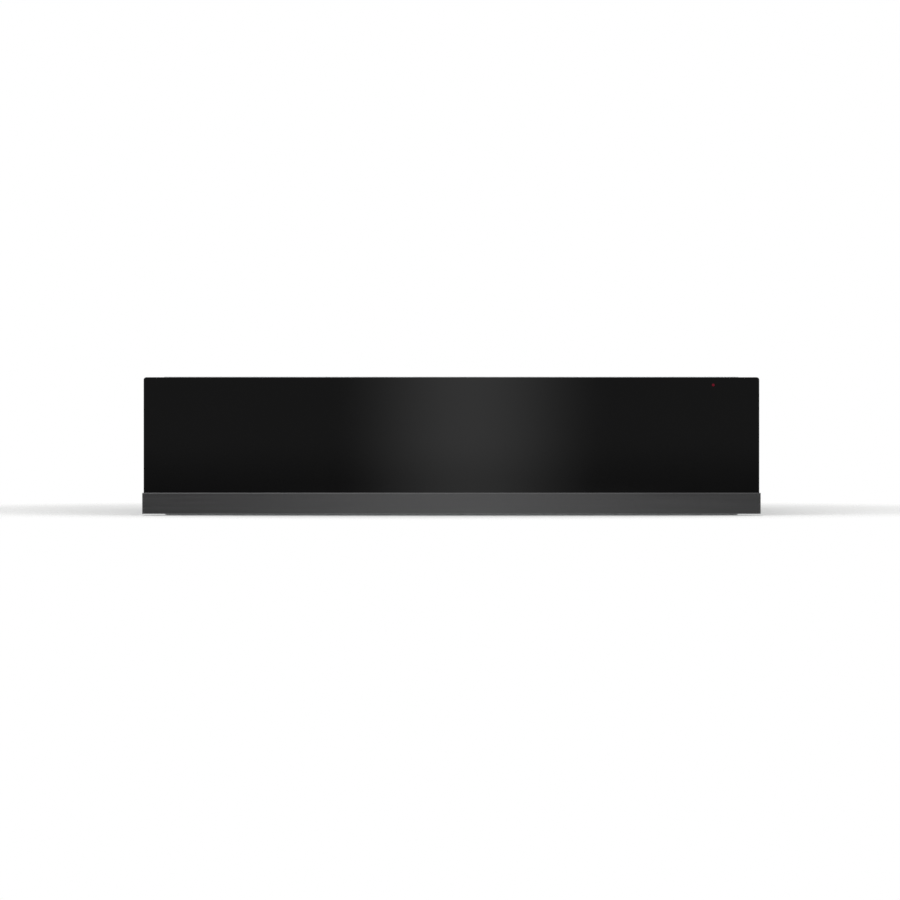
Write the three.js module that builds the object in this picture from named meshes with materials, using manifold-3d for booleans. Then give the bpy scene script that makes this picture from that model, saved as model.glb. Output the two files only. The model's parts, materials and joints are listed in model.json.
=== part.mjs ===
// Built-in warming drawer for a 60 cm wide, 14 cm high niche: a folded steel casing, a drawer that
// runs out on ball-bearing slides, a steel tray warmed by a fan heater behind it, and a handleless
// front of black glass with a metal strip along its bottom edge.
// Millimetres. X to the right, Y into the cabinet, Z up, origin in the middle of the casing's underside.
import * as THREE from 'three';
import { mergeVertices } from 'three/addons/utils/BufferGeometryUtils.js';
import Module from 'manifold-3d';

const wasm = await Module();
wasm.setup();

// ---------------------------------------------------------------- driving dimensions
const seat = 0.3;                // clearance where two pieces touch
const sheet = 1;                 // casing and drawer steel
const bend = 1.5;                // inner radius of a fold

const bodyWidth = 556;
const bodyDepth = 520;
const bodyHeight = 134;
const lipWidth = 12;             // lips along the top of the casing's sides
const topFold = 5;               // turned-down edges of the top cover
const flangeReach = 14;          // front flanges that lie on the cabinet's sides
const flangeMargin = 8;          // below and above the flanges
const fixingInset = 22;          // fixing holes, from the flange's ends
const fixingRadius = 2.3;
const rearFold = 10;             // turned-in edges of the rear panel
const beadRadius = 7;
const beadDepth = 1.2;
const beadSpacing = 120;
const beadMargin = 62;           // from a bead's end to the sheet's edge
const ventLength = 26;
const ventWidth = 3.2;
const ventPitch = 10;
const ventCount = 7;
const ventHeight = 97;           // middle of the vents

const closingGap = 6.5;          // front's back face to the casing
const releaseTravel = 3;         // how far the front is pushed in to free the catch
const drawerTravel = 430;

const frontWidth = 595;          // trim strip with its caps
const frontHeight = 131.5;       // strip's underside to the top of the glass
const frontBase = 1.5;           // strip's underside above the shelf
const trimHeight = 20.3;
const trimLip = 1.6;             // wall in front of the glass, and the strip's other walls
const trimPocket = 6;            // depth of the groove that the glass stands in
const trimChamfer = 0.7;
const trimLegRaise = 3;          // how far the rear leg stops above the front wall's foot
const capThick = 1.5;
const capPlug = 5;               // length of the cap's spigot in the strip
const glassInset = 1.2;          // glass edge inside the strip's end
const glassThick = 4;
const glassCorner = 2.6;
const glassArris = 0.6;
const bondThick = 1;
const bondWidth = 8;
const carrierDepth = 13;
const carrierInset = 3;          // carrier's edge inside the edge of the glass
const carrierCorner = 6;
const carrierReturn = 11;        // width of the flange that the glass is bonded to
const bracketLeg = 30;
const bracketHeight = 62;
const bracketSheet = 2;

const pilotX = 252;              // red pilot light, from the middle
const pilotDrop = 7.5;           // and below the top of the glass
const pilotRadius = 1.3;
const pilotLampRadius = 3.1;
const pilotLampLength = 9;

const runnerThick = 12.7;
const runnerHeight = 45;
const runnerSheet = 1.2;
const runnerLength = 500;
const runnerSetback = 6;         // behind the casing's front
const runnerStagger = 10;        // middle and inner members are this much shorter
const runnerCentre = 48;
const raceDepth = 0.6;
const ballRadius = 2;
const cageSheet = 0.5;
const cageLength = 150;
const cageStart = 165;           // cage's front end behind the runner's front end, closed
const ballsInRow = 3;
const outerBallReach = 5.9;      // outer balls, from the outer member's web
const innerBallReach = 8.7;
const runnerLip = 2.4;
const runnerHole = 2.3;
const runnerHolePitch = 210;

const drawerBase = 6;            // drawer frame above the shelf
const rimTop = 110;              // rim of the tray
const trayFloor = 22;            // top of the tray's floor
const trayBack = 160;            // inside of the tray's rear wall
const trayWallGap = 8.7;         // between the tray's side and the frame
const trayCorner = 18;
const trayFillet = 6;
const rearRim = 7;               // rim behind the tray's rear wall
const consoleWidth = 52;         // control console, front to back
const consoleLeg = 14;

const matThick = 2.4;
const matMargin = 10;
const matHole = 8;
const matPitch = 50;
const insulationMargin = 14;

const windowHalf = 112;          // opening in the tray's rear wall
const windowRise = 28;           // above and below the fan's axis
const windowCorner = 8;
const grilleBorder = 6;
const grilleSheet = 0.8;
const grilleRaise = 3.5;
const eyeRadius = 24;            // round intake in the grille's middle
const eyeSlotWidth = 3;
const eyeRings = [
  { slots: 6, from: 4, to: 12 },
  { slots: 12, from: 14.5, to: 24 },
];
const outletPitch = 8;
const outletSlotWidth = 3.6;
const outletSlotHeight = 40;
const outletCount = 7;
const outletStart = 40;          // first outlet slot, from the middle

const chamberHalf = 122;
const chamberLow = 14;
const chamberDepth = 36;
const chamberCorner = 10;
const chamberFlange = 7;
const impellerRadius = 30;
const impellerDepth = 20;
const impellerGap = 5;           // impeller behind the drawer's rear wall
const impellerSheet = 1.2;
const bladeCount = 15;
const bladeThick = 1.2;
const bladeChord = 9;
const bladeSweep = 24;           // degrees, from the blade's root to its tip
const hubRadius = 8;
const shaftRadius = 2.5;
const elementRadius = 3.2;
const elementHalf = 98;          // half the heating loop's width
const elementRise = 36;          // half the heating loop's height
const elementCorner = 34;
const elementLeg = 14;           // from the middle to each leg
const elementLegBend = 8;
const elementTail = 14;          // leg behind the chamber
const elementPlate = 2;
const elementPlateHalf = 24;
const elementPlateRise = 7;

const coreThick = 16;
const coreRise = 19;             // half the motor core's height
const coreReach = 44;            // core's far end, from the shaft
const coreBack = 22;             // core's near end, from the shaft
const coreWindow = 11;           // half the height of the core's window
const coreLimb = 10;
const rotorRadius = 12;
const rotorGap = 0.6;
const coilThick = 6;
const bridgeSheet = 2;
const bridgeStand = 9;           // bearing bridge in front of and behind the core
const bridgeWidth = 14;
const bridgeFoot = 6;
const bearingRadius = 6;
const bearingLength = 6;
const motorGap = 4;              // front bridge to the chamber
const pillarRadius = 2.6;
const pillarRise = 14;
const cutoutRadius = 8;
const cutoutHeight = 7;
const cutoutX = -78;

const latchX = -190;
const latchZ = 18;
const latchRadius = 7;
const latchLength = 74;
const latchFootWidth = 26;
const latchFootLength = 34;
const latchFootStart = 30;       // foot behind the barrel's front
const latchFootThick = 2.5;
const plungerRadius = 4.2;
const plungerReach = 8;          // plunger in front of its barrel
const plungerTail = 40;          // plunger inside its barrel
const plungerStroke = 6;
const tipLength = 3;
const strikerWidth = 26;
const strikerHeight = 20;
const strikerThick = 2;

const terminalX = 190;           // box on the casing's floor that the mains cable runs to
const terminalWidth = 48;
const terminalHeight = 44;
const terminalDepth = 24;
const connectorX = 190;          // connector on the drawer's rear wall
const connectorZ = 30;
const connectorWidth = 38;
const connectorHeight = 24;
const connectorDepth = 9;
const connectorPins = 3;
const connectorPitch = 10;
const glandX = 246;
const glandZ = 34;
const glandBore = 4.6;
const glandNeck = 8;
const glandHead = 12;
const glandHeadThick = 3.5;

const knobX = 205;
const knobRadius = 16;
const knobHeight = 12;
const knobFlutes = 14;
const knobShaft = 3;
const thermostatWidth = 40;
const thermostatHeight = 26;
const thermostatDepth = 34;
const switchX = 148;
const switchLength = 27;
const switchWidth = 19;
const switchRim = 2;
const switchDepth = 22;
const rockerTilt = 8;            // degrees, at rest
const capillaryRadius = 1.1;
const capillaryZ = 91;
const capillaryBend = 9;
const bulbRadius = 2.8;
const bulbLength = 70;
const bulbEnd = 130;             // sensor bulb's rear end

const bufferRadius = 5;
const bufferInset = 9;           // from the flange's ends

// ---------------------------------------------------------------- finishes
const finishes = {
  galvanised: { color: 0xaeb2b5, roughness: 0.45, metalness: 0.9 },
  stainless: { color: 0xc3c4c4, roughness: 0.28, metalness: 1 },
  blackGlass: { color: 0x0b0b0c, roughness: 0.05, metalness: 0 },
  darkAluminium: { color: 0x4a4a4b, roughness: 0.38, metalness: 0.9 },
  blackPlastic: { color: 0x151516, roughness: 0.5, metalness: 0 },
  greyPlastic: { color: 0x55585a, roughness: 0.6, metalness: 0 },
  rubber: { color: 0x1a1a1b, roughness: 0.85, metalness: 0 },
  redLens: { color: 0xb0061c, roughness: 0.25, metalness: 0 },
  wool: { color: 0xd9d4c4, roughness: 1, metalness: 0 },
  elementSteel: { color: 0x5b544e, roughness: 0.5, metalness: 0.9 },
  lamination: { color: 0x6d6f73, roughness: 0.55, metalness: 0.8 },
  copper: { color: 0xa85a2a, roughness: 0.4, metalness: 0.9 },
  ballSteel: { color: 0xd2d4d6, roughness: 0.15, metalness: 1 },
  whitePlastic: { color: 0xe4e2dc, roughness: 0.5, metalness: 0 },
};

// ---------------------------------------------------------------- tools
const arcSteps = 3;
const roundSides = 18;
const slotSteps = 2;

// A closed surface as a solid that can be joined and cut, with its faces turned outwards.
function solidOf(geometry) {
  const bare = geometry.index ? geometry.toNonIndexed() : geometry.clone();
  for (const name of Object.keys(bare.attributes)) {
    if (name !== 'position') bare.deleteAttribute(name);
  }
  const merged = mergeVertices(bare, 1e-4);
  const corners = merged.index.array;
  const kept = [];
  for (let i = 0; i < corners.length; i += 3) {
    const [a, b, c] = corners.slice(i, i + 3);
    if (a !== b && b !== c && c !== a) kept.push(a, b, c);
  }
  const vertProperties = merged.attributes.position.array;
  const triVerts = new Uint32Array(kept);
  const made = new wasm.Manifold(new wasm.Mesh({ numProp: 3, vertProperties, triVerts }));
  if (made.volume() > 0) return made;
  for (let i = 0; i < triVerts.length; i += 3) {
    [triVerts[i + 1], triVerts[i + 2]] = [triVerts[i + 2], triVerts[i + 1]];
  }
  return new wasm.Manifold(new wasm.Mesh({ numProp: 3, vertProperties, triVerts }));
}

function geometryOf(solid) {
  const mesh = solid.getMesh();
  const geometry = new THREE.BufferGeometry();
  geometry.setAttribute('position', new THREE.BufferAttribute(mesh.vertProperties, 3));
  geometry.setIndex(new THREE.BufferAttribute(mesh.triVerts, 1));
  const flat = geometry.toNonIndexed();
  flat.computeVertexNormals();
  return flat;
}

// The same solid on the other side of the middle plane.
function mirrored(solid) {
  return solidOf(geometryOf(solid).applyMatrix4(new THREE.Matrix4().makeScale(-1, 1, 1)));
}

const joined = (...solids) => solids.reduce((all, next) => all.add(next));
const without = (solid, ...cuts) => cuts.reduce((left, cut) => left.subtract(cut), solid);

const shapeOf = (outline) => new THREE.Shape(outline.map(([a, b]) => new THREE.Vector2(a, b)));

// An outline carried along an axis: (x, y) along z, (x, z) along y, or (y, z) along x.
function prism(axis, outline, from, to) {
  const shape = Array.isArray(outline) ? shapeOf(outline) : outline;
  const depth = to - from;
  const geometry = new THREE.ExtrudeGeometry(shape, { depth, bevelEnabled: false, curveSegments: 6 });
  if (axis === 'z') return solidOf(geometry.translate(0, 0, from));
  if (axis === 'y') return solidOf(geometry.rotateX(Math.PI / 2).translate(0, to, 0));
  const turn = new THREE.Matrix4().makeBasis(
    new THREE.Vector3(0, 1, 0),
    new THREE.Vector3(0, 0, 1),
    new THREE.Vector3(1, 0, 0),
  );
  return solidOf(geometry.applyMatrix4(turn).translate(from, 0, 0));
}

function block(x0, x1, y0, y1, z0, z1) {
  const geometry = new THREE.BoxGeometry(x1 - x0, y1 - y0, z1 - z0);
  return solidOf(geometry.translate((x0 + x1) / 2, (y0 + y1) / 2, (z0 + z1) / 2));
}

// A rectangle with rounded corners, as points.
function roundedBox(a0, a1, b0, b1, radius, steps = arcSteps) {
  const corners = [[a1, b1, 0], [a0, b1, 1], [a0, b0, 2], [a1, b0, 3]];
  return corners.flatMap(([a, b, quarter]) => {
    const towardA = a === a1 ? -1 : 1;
    const towardB = b === b1 ? -1 : 1;
    return Array.from({ length: steps + 1 }, (_, i) => {
      const angle = (quarter + i / steps) * Math.PI / 2;
      return [
        a + towardA * radius + radius * Math.cos(angle),
        b + towardB * radius + radius * Math.sin(angle),
      ];
    });
  });
}

// A slot with round ends, centred on (a, b) and turned by an angle.
function slotOutline(a, b, length, width, angle = 0) {
  const radius = width / 2;
  const half = length / 2 - radius;
  const points = [];
  for (const end of [1, -1]) {
    for (let i = 0; i <= slotSteps; i++) {
      const t = (i / slotSteps - 0.5) * Math.PI;
      points.push([end * (half + radius * Math.cos(t)), end * radius * Math.sin(t)]);
    }
  }
  const c = Math.cos(angle);
  const s = Math.sin(angle);
  return points.map(([u, v]) => [a + u * c - v * s, b + u * s + v * c]);
}

function circle(a, b, radius, sides = roundSides) {
  return Array.from({ length: sides }, (_, i) => {
    const angle = (i / sides) * 2 * Math.PI;
    return [a + radius * Math.cos(angle), b + radius * Math.sin(angle)];
  });
}

// A round bar from one end to the other along an axis; (a, b) are its other two coordinates.
const bar = (axis, a, b, radius, from, to, sides) => prism(axis, circle(a, b, radius, sides), from, to);

// A line of points with its inner corners rounded; `radii` gives each corner's radius.
function roundedLine(points, radii) {
  return points.flatMap(([a, b], i) => {
    const before = points[i - 1];
    const after = points[i + 1];
    if (!before || !after) return [[a, b]];
    const here = new THREE.Vector2(a, b);
    const back = new THREE.Vector2(...before).sub(here);
    const forth = new THREE.Vector2(...after).sub(here);
    const room = 0.45 * Math.min(back.length(), forth.length());
    const turn = Math.abs(back.clone().negate().angle() - forth.angle());
    const angle = turn > Math.PI ? 2 * Math.PI - turn : turn;
    if (angle < 0.01 || radii[i] <= 0) return [[a, b]];
    const cut = Math.min(radii[i] * Math.tan(angle / 2), room);
    const start = here.clone().addScaledVector(back.normalize(), cut);
    const end = here.clone().addScaledVector(forth.normalize(), cut);
    const arc = new THREE.QuadraticBezierCurve(start, here, end);
    return arc.getPoints(arcSteps - 1).map((p) => [p.x, p.y]);
  });
}

// The section of a folded sheet: `line` is its face on the right hand, the sheet lies to the left.
function foldedSheet(line, thick, radius = bend) {
  const normals = line.slice(1).map(([a, b], i) => {
    const along = new THREE.Vector2(a - line[i][0], b - line[i][1]).normalize();
    return new THREE.Vector2(-along.y, along.x);
  });
  const left = line.map(([a, b], i) => {
    const first = normals[Math.max(i - 1, 0)];
    const second = normals[Math.min(i, normals.length - 1)];
    const miter = first.clone().add(second).multiplyScalar(thick / (1 + first.dot(second)));
    return [a + miter.x, b + miter.y];
  });
  const turnsLeft = line.map((_, i) => {
    const first = normals[Math.max(i - 1, 0)];
    const second = normals[Math.min(i, normals.length - 1)];
    return first.cross(second) > 0;
  });
  const wide = radius > 0 ? radius + thick : 0;
  const near = roundedLine(line, turnsLeft.map((isLeft) => (isLeft ? wide : radius)));
  const far = roundedLine(left, turnsLeft.map((isLeft) => (isLeft ? radius : wide)));
  return [...near, ...far.reverse()];
}

// A closed skin through rings of equal count, with its first and last ring filled in.
function loft(rings) {
  const count = rings[0].length;
  const positions = rings.flat(2);
  const index = [];
  for (let r = 0; r < rings.length - 1; r++) {
    for (let i = 0; i < count; i++) {
      const a = r * count + i;
      const b = r * count + (i + 1) % count;
      index.push(a, b, b + count, a, b + count, a + count);
    }
  }
  const last = (rings.length - 1) * count;
  for (let i = 1; i < count - 1; i++) {
    index.push(0, i + 1, i, last, last + i, last + i + 1);
  }
  const geometry = new THREE.BufferGeometry();
  geometry.setAttribute('position', new THREE.Float32BufferAttribute(positions, 3));
  geometry.setIndex(index);
  return solidOf(geometry);
}

// A turned piece of [radius, height] points from axis to axis, standing up or pointing to the front.
function turned(profile, place, pointing = 'up', sides = roundSides) {
  const lathe = new THREE.LatheGeometry(profile.map(([r, h]) => new THREE.Vector2(r, h)), sides);
  lathe.rotateX(pointing === 'up' ? Math.PI / 2 : Math.PI);
  return solidOf(lathe.translate(...place));
}

// A route of straight stretches with round corners; every point of it is one step of the tube.
class Route extends THREE.Curve {
  constructor(corners, radius, steps = 4) {
    super();
    const points = corners.map((corner) => new THREE.Vector3(...corner));
    this.points = points.flatMap((here, i) => {
      if (i === 0 || i === points.length - 1) return [here];
      const back = points[i - 1].clone().sub(here).normalize();
      const forth = points[i + 1].clone().sub(here).normalize();
      const turn = Math.PI - back.angleTo(forth);
      const reach = radius[i - 1] * Math.tan(turn / 2);
      const handle = (4 / 3) * Math.tan(turn / 4) * radius[i - 1];
      const start = here.clone().addScaledVector(back, reach);
      const end = here.clone().addScaledVector(forth, reach);
      const arc = new THREE.CubicBezierCurve3(
        start,
        start.clone().addScaledVector(back, -handle),
        end.clone().addScaledVector(forth, -handle),
        end,
      );
      return arc.getPoints(steps);
    });
  }

  getPoint(t, target = new THREE.Vector3()) {
    const at = t * (this.points.length - 1);
    const i = Math.min(Math.floor(at), this.points.length - 2);
    return target.lerpVectors(this.points[i], this.points[i + 1], at - i);
  }

  getPointAt(u, target) {
    return this.getPoint(u, target);
  }

  getTangentAt(u, target) {
    return this.getTangent(u, target);
  }
}

function tubeAlong(route, radius, sides = 8) {
  const shape = shapeOf(circle(0, 0, radius, sides));
  const steps = route.points.length - 1;
  return solidOf(new THREE.ExtrudeGeometry(shape, { extrudePath: route, steps, bevelEnabled: false }));
}

// ---------------------------------------------------------------- places that several pieces share
const halfBody = bodyWidth / 2;
const caseFront = -bodyDepth / 2;
const caseRear = bodyDepth / 2;
const lipTop = bodyHeight - sheet - seat;
const rearPanelFace = caseRear - sheet - seat;       // outside of the rear panel
const rearPanelInside = rearPanelFace - sheet;

const carrierBack = caseFront - closingGap;
const carrierFront = carrierBack - carrierDepth;
const glassRear = carrierFront - bondThick - 2 * seat;
const glassFront = glassRear - glassThick;
const trimFront = glassFront - seat - trimLip;
const trimTop = frontBase + trimHeight;
const trimShelf = trimTop - trimPocket;
const glassTop = frontBase + frontHeight;
const glassHalf = frontWidth / 2 - glassInset;
const carrierHalf = glassHalf - carrierInset;
const carrierLow = trimShelf + seat;
const carrierHigh = glassTop - carrierInset;
const pilotZ = glassTop - pilotDrop;

const runnerWall = halfBody - sheet - seat;          // casing-side face of the runner
const frameHalf = runnerWall - runnerThick - seat;   // outside of the drawer frame
const frameInside = frameHalf - sheet;
const frameFront = carrierBack + seat;
const frameTop = rimTop - sheet - seat;
const trayHalf = frameInside - trayWallGap - sheet;  // inside of the tray's side
const trayFront = frameFront + consoleWidth;         // front edge of the tray's rim
const trayRim = frameHalf - trayHalf;
const trayStart = trayFront + trayRim;               // inside of the tray's front wall
const drawerWall = trayBack + sheet + seat;          // front face of the drawer's rear wall
const drawerWallBack = drawerWall + sheet;
const chamberFront = drawerWallBack + seat;
const chamberBack = chamberFront + chamberDepth;
const chamberTop = frameTop - seat;
const fanCentre = (chamberLow + chamberTop) / 2;
const impellerFront = drawerWallBack + impellerGap;
const impellerRear = impellerFront + impellerDepth;
const elementLow = fanCentre - elementRise;
const coreFront = chamberBack + motorGap + bridgeSheet + bridgeStand + seat;
const coreRear = coreFront + coreThick;
const strikerRear = drawerWallBack + seat + strikerThick;
const plungerFront = strikerRear + releaseTravel + seat;
const barrelFront = plungerFront + plungerReach;

const part = new THREE.Group();
const casing = new THREE.Group();
const drawer = new THREE.Group();
part.add(casing, drawer);

function addPiece(group, name, solid, finish) {
  const mesh = new THREE.Mesh(geometryOf(solid), new THREE.MeshStandardMaterial(finishes[finish]));
  mesh.name = name;
  group.add(mesh);
}

function addPair(group, name, solid, finish) {
  addPiece(group, `${name}_left`, solid, finish);
  addPiece(group, `${name}_right`, mirrored(solid), finish);
}

// ---------------------------------------------------------------- casing
// Row of vertical vent slots in a wall that lies along an axis.
function ventRow(axis, start, from, to) {
  const slots = Array.from({ length: ventCount }, (_, i) =>
    prism(axis, slotOutline(start + i * ventPitch, ventHeight, ventLength, ventWidth, Math.PI / 2), from, to));
  return joined(...slots);
}

// Base, sides and top lips are one folded sheet; the front flanges lie on the cabinet's sides.
function casingBase() {
  const line = [
    [-halfBody + lipWidth, lipTop],
    [-halfBody, lipTop],
    [-halfBody, 0],
    [halfBody, 0],
    [halfBody, lipTop],
    [halfBody - lipWidth, lipTop],
  ];
  let base = prism('y', foldedSheet(line, sheet), caseFront, caseRear);
  const flangeTop = bodyHeight - flangeMargin;
  for (const side of [-1, 1]) {
    const inner = side * (halfBody - sheet);
    const outer = side * (halfBody + flangeReach);
    const outline = roundedBox(Math.min(inner, outer), Math.max(inner, outer), flangeMargin, flangeTop, bend);
    base = base.add(prism('y', outline, caseFront, caseFront + sheet));
    for (const z of [flangeMargin + fixingInset, flangeTop - fixingInset]) {
      const x = side * (halfBody + flangeReach / 2);
      base = base.subtract(bar('y', x, z, fixingRadius, caseFront - 1, caseFront + sheet + 1, 8));
    }
  }
  const beadFrom = caseFront + beadMargin;
  const beadTo = caseRear - beadMargin;
  for (const x of [-1.5 * beadSpacing, -0.5 * beadSpacing, 0.5 * beadSpacing, 1.5 * beadSpacing]) {
    const middle = (beadFrom + beadTo) / 2;
    const length = beadTo - beadFrom;
    const crest = slotOutline(x, middle, length + 2 * sheet, 2 * (beadRadius + sheet), Math.PI / 2);
    const hollow = slotOutline(x, middle, length, 2 * beadRadius, Math.PI / 2);
    base = base.add(prism('z', crest, sheet / 2, sheet + beadDepth));
    base = base.subtract(prism('z', hollow, -1, beadDepth));
  }
  const ventStart = caseRear - beadMargin - ventCount * ventPitch;
  return base.subtract(ventRow('x', ventStart, -halfBody - 1, halfBody + 1));
}

function casingRear() {
  const low = sheet + seat;
  const high = lipTop - sheet - seat;
  const line = [
    [rearPanelFace - rearFold, low],
    [rearPanelFace, low],
    [rearPanelFace, high],
    [rearPanelFace - rearFold, high],
  ];
  const half = halfBody - sheet - seat;
  const corners = roundedBox(-half, half, low, high, bend + sheet);
  const panel = prism('x', foldedSheet(line, sheet), -half, half)
    .intersect(prism('y', corners, rearPanelFace - rearFold - 1, rearPanelFace + 1));
  const wallFrom = rearPanelInside - 1;
  const wallTo = rearPanelFace + 1;
  const rowLength = (ventCount - 1) * ventPitch;
  return without(
    panel,
    ventRow('y', -rowLength / 2, wallFrom, wallTo),
    ventRow('y', -rowLength / 2 - half / 2, wallFrom, wallTo),
    bar('y', glandX, glandZ, glandNeck + seat, wallFrom, wallTo),
  );
}

// The cover carries the oven above, so its beads are pressed inwards.
function casingTop() {
  const line = [
    [caseRear, bodyHeight - topFold],
    [caseRear, bodyHeight],
    [caseFront, bodyHeight],
    [caseFront, bodyHeight - topFold],
  ];
  let cover = prism('x', foldedSheet(line, sheet), -halfBody, halfBody);
  const foldHalf = halfBody - lipWidth - seat;
  const under = bodyHeight - sheet;
  cover = without(
    cover,
    block(foldHalf, halfBody + 1, caseFront - 1, caseRear + 1, under - topFold, under),
    block(-halfBody - 1, -foldHalf, caseFront - 1, caseRear + 1, under - topFold, under),
  );
  const length = bodyWidth - 2 * beadMargin;
  for (const y of [-1.5 * beadSpacing, -0.5 * beadSpacing, 0.5 * beadSpacing, 1.5 * beadSpacing]) {
    const crest = slotOutline(0, y, length + 2 * sheet, 2 * (beadRadius + sheet));
    const hollow = slotOutline(0, y, length, 2 * beadRadius);
    cover = cover.add(prism('z', crest, under - beadDepth, bodyHeight - sheet / 2));
    cover = cover.subtract(prism('z', hollow, bodyHeight - beadDepth, bodyHeight + 1));
  }
  return cover;
}

// Rubber buffers on the front flanges, which the front meets when it is pushed right in.
function addBuffers() {
  const thick = closingGap - releaseTravel - 2 * seat;
  const flangeTop = bodyHeight - flangeMargin;
  const heights = { lower: flangeMargin + bufferInset, upper: flangeTop - bufferInset };
  const profile = [[0, 0], [bufferRadius, 0], [bufferRadius, thick * 0.6], [bufferRadius * 0.7, thick], [0, thick]];
  for (const [level, z] of Object.entries(heights)) {
    const place = [-halfBody - flangeReach / 2, caseFront - seat, z];
    addPair(casing, `closing_buffer_${level}`, turned(profile, place, 'front', 16), 'rubber');
  }
}

// A grommet in the rear panel that the mains cable enters through.
function mainsGland() {
  const inner = rearPanelInside - seat;
  const outer = rearPanelFace + seat;
  const ring = joined(
    bar('y', glandX, glandZ, glandNeck, inner - glandHeadThick, outer + 1),
    bar('y', glandX, glandZ, glandHead, outer, outer + glandHeadThick),
    bar('y', glandX, glandZ, glandHead, inner - glandHeadThick, inner),
  );
  return ring.subtract(bar('y', glandX, glandZ, glandBore, inner - 20, outer + 20));
}

// Plastic box on the casing's floor with a lid, lid clips and two cable mouths.
function terminalBox() {
  const rear = rearPanelFace - rearFold - seat;
  const front = rear - terminalDepth;
  const low = sheet + seat;
  const high = low + terminalHeight;
  const x0 = terminalX - terminalWidth / 2;
  const x1 = terminalX + terminalWidth / 2;
  const lid = front + terminalDepth * 0.35;
  const shell = prism('y', roundedBox(x0, x1, low, high, 3), lid, rear);
  const cover = prism('y', roundedBox(x0 + 1, x1 - 1, low + 1, high - 1, 3), front, lid);
  const clips = [-1, 1].map((side) => {
    const x = terminalX + (side * terminalWidth) / 4;
    return block(x - 4, x + 4, front + 2, lid + 5, high - 2, high + 1.6);
  });
  const mouths = [-1, 1].map((side) => {
    const x = terminalX + (side * terminalWidth) / 4;
    return bar('y', x, low + terminalHeight * 0.35, 4, front - 1, front + 5, 12);
  });
  return without(joined(shell, cover, ...clips), ...mouths);
}

// Barrel of the push-to-open catch on a foot that is screwed to the casing's floor.
function latchBarrel() {
  const rear = barrelFront + latchLength;
  const footFront = barrelFront + latchFootStart;
  const footRear = footFront + latchFootLength;
  const low = sheet + seat;
  const half = latchFootWidth / 2;
  const barrel = joined(
    bar('y', latchX, latchZ, latchRadius, barrelFront, rear, 14),
    bar('y', latchX, latchZ, latchRadius + 1, barrelFront + 3, barrelFront + 8, 14),
    block(latchX - half, latchX + half, footFront, footRear, low, low + latchFootThick),
    block(latchX - 3, latchX + 3, footFront + 2, footRear - 2, low + 1, latchZ),
  );
  const bore = bar('y', latchX, latchZ, plungerRadius + seat, barrelFront - 1, plungerFront + plungerReach
    + plungerTail + plungerStroke + 2 * seat, 12);
  const screws = [-1, 1].map((side) => {
    const x = latchX + side * (half - 5);
    return bar('z', x, (footFront + footRear) / 2, 2.2, low - 1, low + latchFootThick + 1, 10);
  });
  return without(barrel, bore, ...screws);
}

// Rod that the closed drawer stands in front of.
function latchPlunger() {
  const front = plungerFront + tipLength + seat;
  const rear = barrelFront + plungerTail;
  return joined(
    bar('y', latchX, latchZ, plungerRadius, front, rear, 16),
    bar('y', latchX, latchZ, plungerRadius * 0.6, front - tipLength * 0.6, front + 1, 12),
  );
}

function plungerTip() {
  const rear = plungerFront + tipLength;
  const tip = turned([[0, 0], [plungerRadius, 0], [plungerRadius, tipLength * 0.6],
    [plungerRadius * 0.75, tipLength], [0, tipLength]], [latchX, rear, latchZ], 'front', 16);
  return tip.subtract(bar('y', latchX, latchZ, plungerRadius * 0.6 + seat, rear - tipLength * 0.75, rear + 1, 12));
}

// ---------------------------------------------------------------- runners
// Sections are drawn for the left side: reach runs from the casing towards the drawer, rise is above the centre.
const atLeft = (outline) => outline.map(([reach, rise]) => [-runnerWall + reach, runnerCentre + rise]);
const upAndDown = (half) => [...half, ...half.map(([reach, rise]) => [reach, -rise]).reverse()];

const outerPlain = runnerHeight / 2 - raceDepth;
const outerBallRise = runnerHeight / 2 - runnerSheet - seat - ballRadius;
const middlePlain = outerBallRise - ballRadius - seat + raceDepth;
const innerBallRise = middlePlain - runnerSheet - seat - ballRadius;
const innerPlain = innerBallRise - ballRadius - seat + raceDepth;
const outerCageWeb = runnerSheet + seat;
const middleWeb = outerCageWeb + cageSheet + seat;
const innerCageWeb = middleWeb + runnerSheet + seat;
const middleReach = innerBallReach + ballRadius + seat + runnerSheet;

// A race along a flange: a shallow groove with sloping sides under the row of balls.
function race(reach, plain, groove) {
  const wide = ballRadius;
  const narrow = ballRadius / 2;
  return [[reach + wide, plain], [reach + narrow, groove], [reach - narrow, groove], [reach - wide, plain]];
}

const runnerFront = caseFront + runnerSetback;

function screwHoles(from, to, y0, y1) {
  const middle = (y0 + y1) / 2;
  const holes = [-1, 0, 1].map((k) =>
    bar('x', middle + k * runnerHolePitch, runnerCentre, runnerHole, from, to, 10));
  return joined(...holes);
}

function outerMember() {
  const lipReach = outerBallReach + ballRadius + seat + runnerSheet;
  const half = [
    [lipReach, outerPlain - runnerLip],
    [lipReach, outerPlain],
    ...race(outerBallReach, outerPlain, runnerHeight / 2),
    [0, outerPlain],
  ];
  const rear = runnerFront + runnerLength;
  const member = prism('y', atLeft(foldedSheet(upAndDown(half), runnerSheet, 0)), runnerFront, rear);
  const web = -runnerWall;
  return member.subtract(screwHoles(web - 1, web + runnerSheet + 1, runnerFront, rear));
}

function middleMember() {
  const half = [
    [middleReach, middlePlain - runnerLip],
    [middleReach, middlePlain],
    ...race(outerBallReach, middlePlain, middlePlain - raceDepth),
    [middleWeb, middlePlain],
  ];
  const rear = runnerFront + runnerLength - runnerStagger;
  return prism('y', atLeft(foldedSheet(upAndDown(half), runnerSheet, 0)), runnerFront, rear);
}

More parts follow.
